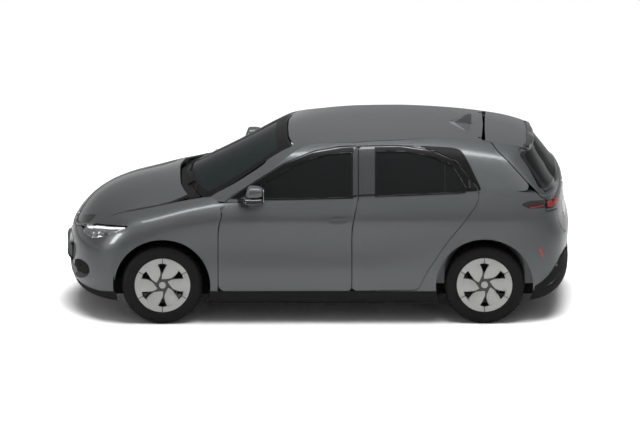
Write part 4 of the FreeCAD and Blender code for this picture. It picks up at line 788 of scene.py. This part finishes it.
# Front face: gloss band between the lamps, grille, centre panel, plain plate and badge.
nose_band = softened([(-420, 690), (-420, 850), (-330, 832), (-250, 800), (0, 776), (250, 800), (330, 832),
                      (420, 850), (420, 690), (250, 670), (0, 667), (-250, 670)], 1)
patch("nose_band", nose_band, "front", ["bonnet"], gloss_black, "bonnet", "black_plastic", lift=1.2, thick=2)
low_grille = [(-640, 400), (-580, 394), (-445, 378), (-312, 384), (0, 388), (312, 384), (445, 378),
              (580, 394), (640, 400), (612, 350), (452, 292), (202, 272), (-202, 272), (-452, 292),
              (-612, 350)]
patch("grille_panel", softened(low_grille, 1), "front", ["front_bumper"], grille_mesh, "body",
      "black_plastic", lift=1.0, thick=2, cell=24)
for k, z in enumerate((298, 322, 346, 370)):
    reach = (300, 400, 450, 470)[k]
    patch("grille_bar_%d" % k, band([(-reach, z + 4), (0, z), (reach, z + 4)], 9), "front", ["front_bumper"],
          gloss_black, "body", "black_plastic", lift=7, thick=7, cell=30)
patch("nose_panel", rounded(-262, 262, 372, 602, 30), "front", ["front_bumper"], gloss_black, "body",
      "black_plastic", lift=3.0, thick=5, cell=40)
patch("front_plate_holder", rounded(-262, 262, 408, 524, 12), "front", ["front_bumper"], black_plastic,
      "body", "black_plastic", lift=9, thick=8, cell=40)
patch("front_plate", rounded(-256, 256, 412, 520, 8), "front", ["front_bumper"], plate_blank, "body",
      "body_paint", lift=10.5, thick=2, cell=40)
patch("nose_badge", rounded(-34, 34, 700, 768, 33), "front", ["bonnet"], chrome, "bonnet", "body_paint",
      lift=5, thick=5, cell=12)
patch("nose_badge_core", rounded(-27, 27, 707, 761, 26), "front", ["bonnet"], gloss_black, "bonnet",
      "black_plastic", lift=5.8, thick=3, cell=12)
both("corner_vent", softened([(-2096, 372), (-2100, 470), (-1990, 486), (-1962, 400), (-2010, 360)], 2),
     ["front_bumper"], black_plastic, "body", "black_plastic", lift=1.2, thick=2.5, cell=16)
both("corner_vent_blade", band([(-2088, 420), (-1990, 440)], 14), ["front_bumper"], black_plastic, "body",
     "black_plastic", lift=4, thick=5, cell=16)
tail_panel = softened([(-516, 990), (-516, 1048), (0, 1054), (516, 1048), (516, 990), (0, 984)], 1)
patch("tail_band", tail_panel, "rear", ["tailgate"], gloss_black, "tailgate", "black_plastic", lift=1.4,
      thick=3)
patch("tail_plate", rounded(-260, 260, 800, 912, 10), "rear", ["tailgate"], plate_blank, "tailgate",
      "body_paint", lift=3, thick=4, cell=60)
# Plate recess in the darker copy of the body paint: painted shade.
patch("gate_recess", rounded(-340, 340, 775, 932, 36), "rear", ["tailgate"], recess_shade_paint, "tailgate",
      "body_paint", lift=0.8, thick=2, cell=30)
patch("tail_badge", rounded(-38, 38, 982, 1058, 37), "rear", ["tailgate"], chrome, "tailgate", "body_paint",
      lift=5, thick=5, cell=12)

# Tail lamps: smoked housings, a red line on each outer lamp and two red cells in each inner lamp.
tail_lamp = softened([(1757, 1080), (1870, 1074), (1946, 1064), (1946, 1018), (1870, 1014), (1815, 1014)], 1)
both("tail_smoke_outer", tail_lamp, ["tail_lamps_outer"], lens_smoked, "body", "lamp_red", lift=0.8, thick=2)
both("tail_line_outer", band([(1815, 1030), (1870, 1029), (1936, 1033)], 6), ["tail_lamps_outer"], lens_red,
     "body", "lamp_red", lift=2.2, thick=3, cell=14)
inner_lamp = ((752, 1000), (752, 1068), (690, 1060), (530, 1045), (530, 992), (690, 996))
for side, sign in (("left", -1), ("right", 1)):
    inner = [(sign * a, b) for a, b in inner_lamp]
    patch("tail_smoke_inner_" + side, softened(inner, 1), "rear", ["tail_lamps_inner"], lens_smoked,
          "tailgate", "lamp_red", lift=0.8, thick=2)
    for k, (low, high) in enumerate(((664, 738), (540, 646))):
        cell_edge = [(sign * low, 1004), (sign * low, 1050), (sign * high, 1056), (sign * high, 1006)]
        patch("tail_cell_%d_%s" % (k, side), softened(cell_edge, 1), "rear", ["tail_lamps_inner"], lens_red,
              "tailgate", "lamp_red", drop=[grown(cell_edge, -12)], lift=2.4, thick=3, cell=14)
        patch("tail_core_%d_%s" % (k, side), softened(grown(cell_edge, -16), 1), "rear", ["tail_lamps_inner"],
              lens_red, "tailgate", "lamp_red", lift=1.8, thick=3, cell=14)

# Dark lower panel and reflectors of the rear bumper.
valance = softened([(1800, 290), (1843, 325), (1925, 372), (1990, 430), (2040, 500), (2110, 562),
                    (2140, 562), (2140, 425), (2100, 422), (2000, 334), (1880, 300)], 1)
both("rear_valance", valance, ["rear_bumper"], black_plastic, "body", "black_plastic", lift=1.2, thick=2.5)
patch("rear_valance_middle", softened([(-560, 424), (-600, 560), (600, 560), (560, 424)], 1), "rear",
      ["rear_bumper"], black_plastic, "body", "black_plastic", lift=1.4, thick=2.5)
both("rear_reflector", band([(1905, 668), (1916, 625), (1934, 588)], 14), ["rear_bumper"], lens_red, "body",
     "lamp_red", lift=2, thick=4, cell=12)

# Rear window: painted black edge and the gloss cheeks under the spoiler.
pane = [(-620, 1160), (-470, 1150), (-300, 1140), (0, 1132), (300, 1140), (470, 1150), (620, 1160),
        (560, 1300), (520, 1380), (470, 1415), (300, 1425), (0, 1430), (-300, 1425), (-470, 1415),
        (-520, 1380), (-560, 1300)]
patch("rear_pane_edge", grown(pane, 40), "rear", ["rear_window", "tailgate"], gloss_black, "tailgate",
      "black_plastic", drop=[softened(pane, 1)], lift=1.0, thick=2, cell=30)

# Windscreen: painted border, wipers and the mirror behind it.
screen_edge = both_halves([(-1132, 0), (-1107, 300), (-1030, 560), (-950, 688), (-245, 505), (-268, 300),
                           (-274, 0)])
screen_clear = both_halves([(-1085, 0), (-1062, 300), (-985, 545), (-925, 628), (-350, 478), (-362, 300),
                            (-370, 0)])
patch("screen_border", grown(screen_edge, -6), "top", ["windscreen"], frame_film, "body", "black_plastic",
      drop=[softened(screen_clear, 1)], lift=0.6, thick=1.2, cell=34)
for label, line in (("near", [(-1075, -600), (-1040, -380), (-1085, 40)]),
                    ("far", [(-1100, 20), (-1075, 330), (-1010, 580)])):
    patch("wiper_blade_" + label, band(line, 14), "top", ["windscreen", "cowl_panel"], black_plastic, "body",
          "black_plastic", lift=10, thick=8, cell=20)
for label, line in (("near", [(-1118, -300), (-1058, -330)]), ("far", [(-1140, 300), (-1072, 340)])):
    patch("wiper_arm_" + label, band(line, 20), "top", ["windscreen", "cowl_panel"], black_plastic, "body",
          "black_plastic", lift=17, thick=9, cell=20)
inner_mirror = bmesh.new()
bmesh.ops.create_uvsphere(inner_mirror, u_segments=32, v_segments=16, radius=1.0)
for v in inner_mirror.verts:
    x, y, z = (math.copysign(abs(part) ** 0.7, part) for part in v.co)
    v.co = Vector((-0.385 + 0.016 * x + 0.045 * y, 0.105 * y, 1.335 + 0.032 * z))
piece_from(inner_mirror, "inside_mirror", dash_skin, "body")

# Inside of the doors, the roof lining and the carpet.
front_card = softened([(-700, 360), (-690, 700), (-640, 1040), (-300, 1085), (300, 1105), (262, 880),
                       (262, 360)], 1)
rear_card = softened([(345, 1110), (700, 1125), (1180, 1130), (1080, 800), (930, 560), (840, 380), (312, 370),
                      (312, 880)], 1)
for label, card, cloth, rest, pull, reach in (
        ("front", front_card, rounded(-480, 200, 800, 960, 40), rounded(-420, 120, 700, 760, 26),
         rounded(-470, -350, 905, 935, 13), 34),
        ("rear", rear_card, rounded(380, 900, 820, 980, 40), rounded(400, 800, 720, 780, 26),
         rounded(420, 530, 925, 955, 13), 30)):
    door = label + "_door_SIDE"
    for part, outline, look, slot, lift, thick, cell in (
            ("_card", card, dash_skin, "dash_plastic", 3, 4, 40),
            ("_card_cloth", cloth, seat_cloth, "seat_fabric", 8, 8, 40),
            ("_arm_rest", rest, dash_skin, "dash_plastic", reach, reach, 40),
            ("_pull", pull, chrome, "dash_plastic", 14, 8, 20)):
        both(label + part, outline, [door], look, door, slot, inside=True, lift=lift, thick=thick, cell=cell)
patch("headlining", [(-235, -480), (1380, -440), (1380, 440), (-235, 480)], "under", ["roof_panel"],
      headliner, "body", "seat_fabric", lift=2, thick=3, cell=60)
patch("carpet", [(-940, -740), (860, -740), (860, 740), (-940, 740)], "top", ["floor_pan"], carpet, "body",
      "seat_fabric", lift=2, thick=3, cell=80)
patch("load_carpet", [(1300, -560), (1990, -560), (1990, 560), (1300, 560)], "top", ["floor_pan"], carpet,
      "body", "seat_fabric", lift=2, thick=3, cell=80)

# Dashboard: driver's display, middle screen, air vents and the glove box lid.
patch("driver_display", rounded(-478, -262, 906, 976, 12), "rear", ["dashboard"], gloss_black, "body",
      "dash_plastic", lift=6, thick=7, cell=30)
patch("middle_screen", rounded(-120, 130, 890, 990, 10), "rear", ["dashboard"], gloss_black, "body",
      "dash_plastic", lift=14, thick=13, cell=30)
for k, (low, high) in enumerate(((-640, -520), (-220, -150), (150, 220), (520, 640))):
    patch("air_vent_%d" % k, rounded(low, high, 900, 950, 10), "rear", ["dashboard"], gloss_black, "body",
          "dash_plastic", lift=3, thick=4, cell=20)
patch("glove_box_lid", rounded(210, 600, 730, 850, 20), "rear", ["dashboard"], dash_skin, "body",
      "dash_plastic", lift=4, thick=5, cell=40)


# Padded seats: each pad is a shrunk prism of its side outline, blown up as cloth under pressure.
def evaluated(made):
    graph = bpy.context.evaluated_depsgraph_get()
    mesh = bpy.data.meshes.new_from_object(made.evaluated_get(graph), depsgraph=graph)
    made.modifiers.clear()
    old = made.data
    made.data = mesh
    bpy.data.meshes.remove(old)
    return mesh


def values(mesh, kind):
    # Places or normals of all corners of a mesh, one row each.
    flat = np.empty(len(mesh.vertices) * 3, np.float32)
    mesh.vertices.foreach_get(kind, flat)
    return flat.reshape(-1, 3)


def put(mesh, places):
    mesh.vertices.foreach_set("co", places.astype(np.float32).ravel())
    mesh.update()


def pad(name, outline, low, high, hollow=None, seams=(), voxel=0.016, replaces=()):
    bm = bmesh.new()
    loop = grown(softened(outline, 2), -14)
    side = bm.faces.new([bm.verts.new((a / 1000, low / 1000 + 0.014, b / 1000)) for a, b in loop])
    for v in bmesh.ops.extrude_face_region(bm, geom=[side])["geom"]:
        if isinstance(v, bmesh.types.BMVert):
            v.co.y = high / 1000 - 0.014
    bmesh.ops.recalc_face_normals(bm, faces=bm.faces[:])
    mesh = bpy.data.meshes.new(name)
    bm.to_mesh(mesh)
    bm.free()
    made = bpy.data.objects.new(name, mesh)
    bpy.context.scene.collection.objects.link(made)
    even = made.modifiers.new("even", "REMESH")
    even.mode = "VOXEL"
    even.voxel_size = voxel
    mesh = evaluated(made)
    # The middle of a seat lies lower than its side bolsters.
    if hollow:
        axis, depth, reach, centre = hollow
        places = values(mesh, "co")
        across = np.minimum(1, np.abs(places[:, 1] * 1000 - centre) / reach)
        lower = (values(mesh, "normal") @ np.array(axis) > 0.4) * depth / 1000 * (1 - across ** 4)
        put(mesh, places - lower[:, None] * np.array(axis))
    start = values(mesh, "co")
    cloth = made.modifiers.new("cloth", "CLOTH")
    cloth.settings.use_pressure = True
    cloth.settings.uniform_pressure_force = 4
    cloth.settings.effector_weights.gravity = 0
    for step in range(1, 21):
        bpy.context.scene.frame_set(step)
    mesh = evaluated(made)
    bpy.context.scene.frame_set(1)
    move = values(mesh, "co") - start
    length = np.maximum(np.linalg.norm(move, axis=1), 1e-9)
    put(mesh, start + move * np.minimum(1, 0.013 / length)[:, None])
    finer = made.modifiers.new("finer", "SUBSURF")
    finer.levels = 1
    mesh = evaluated(made)
    # Sewn seams pull the cover in along lines across the seat's width.
    places = values(mesh, "co")
    pull = sum((np.exp(-((places[:, 1] * 1000 - y) / 9) ** 2) for y in seams), np.zeros(len(places)))
    put(mesh, places - values(mesh, "normal") * 0.006 * pull[:, None])
    mesh.materials.clear()
    mesh.materials.append(seat_cloth)
    mesh.shade_smooth()
    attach(made, "body")
    if replaces:
        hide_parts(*replaces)


seat_low = [(-178, 372), (-190, 430), (-150, 500), (236, 472), (300, 436), (326, 372)]
seat_back = [(246, 480), (330, 400), (452, 700), (560, 1080), (500, 1110), (440, 1090), (330, 760)]
seat_head = [(478, 1152), (560, 1142), (590, 1280), (520, 1290)]
bench_low = [(755, 320), (720, 500), (780, 560), (1160, 532), (1160, 482), (894, 478), (884, 320)]
bench_back = [(1168, 545), (1310, 1080), (1390, 1120), (1428, 1070), (1290, 482), (1180, 482)]
for k, centre in enumerate((-370, 370)):
    lines = (centre - 165, centre + 165)
    pad("seat_cushion_%d" % k, seat_low, centre - 250, centre + 250, ((0, 0, 1), 16, 165, centre), lines,
        replaces=("front_seats",) if k == 0 else ())
    pad("seat_back_%d" % k, seat_back, centre - 245, centre + 245, ((-0.93, 0, 0.36), 16, 165, centre), lines)
    pad("head_pad_%d" % k, seat_head, centre - 130, centre + 130, voxel=0.014)
pad("bench_cushion", bench_low, -600, 600, ((0, 0, 1), 6, 560, 0), (-190, 190), replaces=("rear_bench",))
pad("bench_back", bench_back, -600, 600, None, (-190, 190))

# Seat bases on the floor and the posts of the head pads.
for k, centre in enumerate((-370, 370)):
    base = bmesh.new()
    bmesh.ops.create_cube(base, size=1.0, matrix=Matrix.Translation((0.07, centre / 1000, 0.338))
                          @ Matrix.Diagonal((0.44, 0.42, 0.078, 1)))
    bmesh.ops.bevel(base, geom=base.edges[:], offset=0.012, segments=3, affect="EDGES")
    piece_from(base, "seat_base_%d" % k, dash_skin, "body")
    for side in (-60, 60):
        low = Vector((0.508, (centre + side) / 1000, 1.07))
        high = Vector((0.535, (centre + side) / 1000, 1.19))
        post = bmesh.new()
        turn = (high - low).to_track_quat("Z", "Y").to_matrix().to_4x4()
        bmesh.ops.create_cone(post, cap_ends=True, segments=16, radius1=0.006, radius2=0.006,
                              depth=(high - low).length, matrix=Matrix.Translation((low + high) / 2) @ turn)
        piece_from(post, "head_post_%d_%d" % (k, side > 0), chrome, "body")

# Stage: pale floor with soft light.
floor_bm = bmesh.new()
bmesh.ops.create_grid(floor_bm, x_segments=1, y_segments=1, size=40)
floor_mesh = bpy.data.meshes.new("floor")
floor_bm.to_mesh(floor_mesh)
floor_bm.free()
floor = bpy.data.objects.new("floor", floor_mesh)
bpy.context.scene.collection.objects.link(floor)
floor_look = bpy.data.materials.new("pale_floor")
floor_look.use_nodes = True
floor_look.node_tree.nodes["Principled BSDF"].inputs["Base Color"].default_value = (0.86, 0.86, 0.86, 1)
floor_look.node_tree.nodes["Principled BSDF"].inputs["Roughness"].default_value = 0.9
# In reflections the floor is a darker grey, as in a studio whose floor is lit only round the car.
floor_tree = floor_look.node_tree
darker = add(floor_tree, "ShaderNodeBsdfDiffuse")
darker.inputs["Color"].default_value = (0.24, 0.24, 0.24, 1)
either = add(floor_tree, "ShaderNodeMixShader")
floor_path = add(floor_tree, "ShaderNodeLightPath")
floor_tree.links.new(floor_path.outputs["Is Glossy Ray"], either.inputs[0])
floor_tree.links.new(floor_tree.nodes["Principled BSDF"].outputs[0], either.inputs[1])
floor_tree.links.new(darker.outputs[0], either.inputs[2])
# Far from the car the floor glows white, so that it meets the white surroundings without an edge.
floor_place = add(floor_tree, "ShaderNodeTexCoord")
floor_reach = add(floor_tree, "ShaderNodeVectorMath", operation="LENGTH")
floor_fade = add(floor_tree, "ShaderNodeMapRange")
floor_fade.inputs["From Min"].default_value = 2.9
floor_fade.inputs["From Max"].default_value = 7.0
floor_seen = add(floor_tree, "ShaderNodeMath", operation="MULTIPLY")
glow = add(floor_tree, "ShaderNodeEmission")
outer = add(floor_tree, "ShaderNodeMixShader")
floor_tree.links.new(floor_place.outputs["Object"], floor_reach.inputs[0])
floor_tree.links.new(floor_reach.outputs["Value"], floor_fade.inputs["Value"])
floor_tree.links.new(floor_fade.outputs["Result"], floor_seen.inputs[0])
floor_tree.links.new(floor_path.outputs["Is Camera Ray"], floor_seen.inputs[1])
floor_tree.links.new(floor_seen.outputs[0], outer.inputs[0])
floor_tree.links.new(either.outputs[0], outer.inputs[1])
floor_tree.links.new(glow.outputs[0], outer.inputs[2])
floor_tree.links.new(outer.outputs[0], floor_tree.nodes["Material Output"].inputs[0])
floor_mesh.materials.append(floor_look)

# Surroundings: white to the camera; bright far backdrop, dim ceiling and a light strip for the shading.
world = bpy.data.worlds.new("studio")
bpy.context.scene.world = world
world.use_nodes = True
tree = world.node_tree
sky = tree.nodes["Background"]
place = add(tree, "ShaderNodeTexCoord")
parts = add(tree, "ShaderNodeSeparateXYZ")
tree.links.new(place.outputs["Generated"], parts.inputs[0])
turn = add(tree, "ShaderNodeMath", operation="ARCTAN2")
tree.links.new(parts.outputs["Z"], turn.inputs[0])
tree.links.new(parts.outputs["Y"], turn.inputs[1])
share = add(tree, "ShaderNodeMath", operation="DIVIDE")
share.inputs[1].default_value = math.pi
tree.links.new(turn.outputs[0], share.inputs[0])
ramp = add(tree, "ShaderNodeValToRGB")
stops = ((0.0, 0.50), (0.07, 0.20), (0.15, 0.12), (0.26, 0.07), (0.43, 0.07), (0.52, 0.60), (0.62, 0.50),
         (0.74, 0.46), (0.86, 0.42), (0.94, 0.28), (1.0, 0.28))
while len(ramp.color_ramp.elements) < len(stops):
    ramp.color_ramp.elements.new(0.5)
for element, (where, level) in zip(ramp.color_ramp.elements, stops):
    element.position = where
    element.color = (level, level, level, 1)
tree.links.new(share.outputs[0], ramp.inputs["Fac"])
path = add(tree, "ShaderNodeLightPath")
final = add(tree, "ShaderNodeMix", data_type="RGBA")
final.inputs["B"].default_value = (1, 1, 1, 1)
tree.links.new(path.outputs["Is Camera Ray"], final.inputs["Factor"])
tree.links.new(ramp.outputs["Color"], final.inputs["A"])
tree.links.new(final.outputs["Result"], sky.inputs["Color"])
sky.inputs["Strength"].default_value = 1.0


def lamp(name, place, aim, size_x, size_y, power, diffuse=True, glossy=True):
    data = bpy.data.lights.new(name, "AREA")
    data.shape = "RECTANGLE"
    data.size = size_x
    data.size_y = size_y
    data.energy = power
    made = bpy.data.objects.new(name, data)
    made.location = place
    made.rotation_euler = (Vector(aim) - Vector(place)).to_track_quat("-Z", "Y").to_euler()
    made.visible_diffuse = diffuse
    made.visible_glossy = glossy
    bpy.context.scene.collection.objects.link(made)


lamp("overhead", (0.3, 0.3, 7.5), (0, 0, 0), 9, 6, 2300, glossy=False)
lamp("roof_edge_strip", (0.3, -0.75, 6.5), (0.3, -0.6, 1.5), 9, 1.5, 170, diffuse=False)
lamp("nose_light", (-6.5, -2.6, 2.4), (-2, -0.4, 0.8), 1.2, 2.4, 90, diffuse=False)

scene = bpy.context.scene
scene.view_settings.view_transform = "Standard"
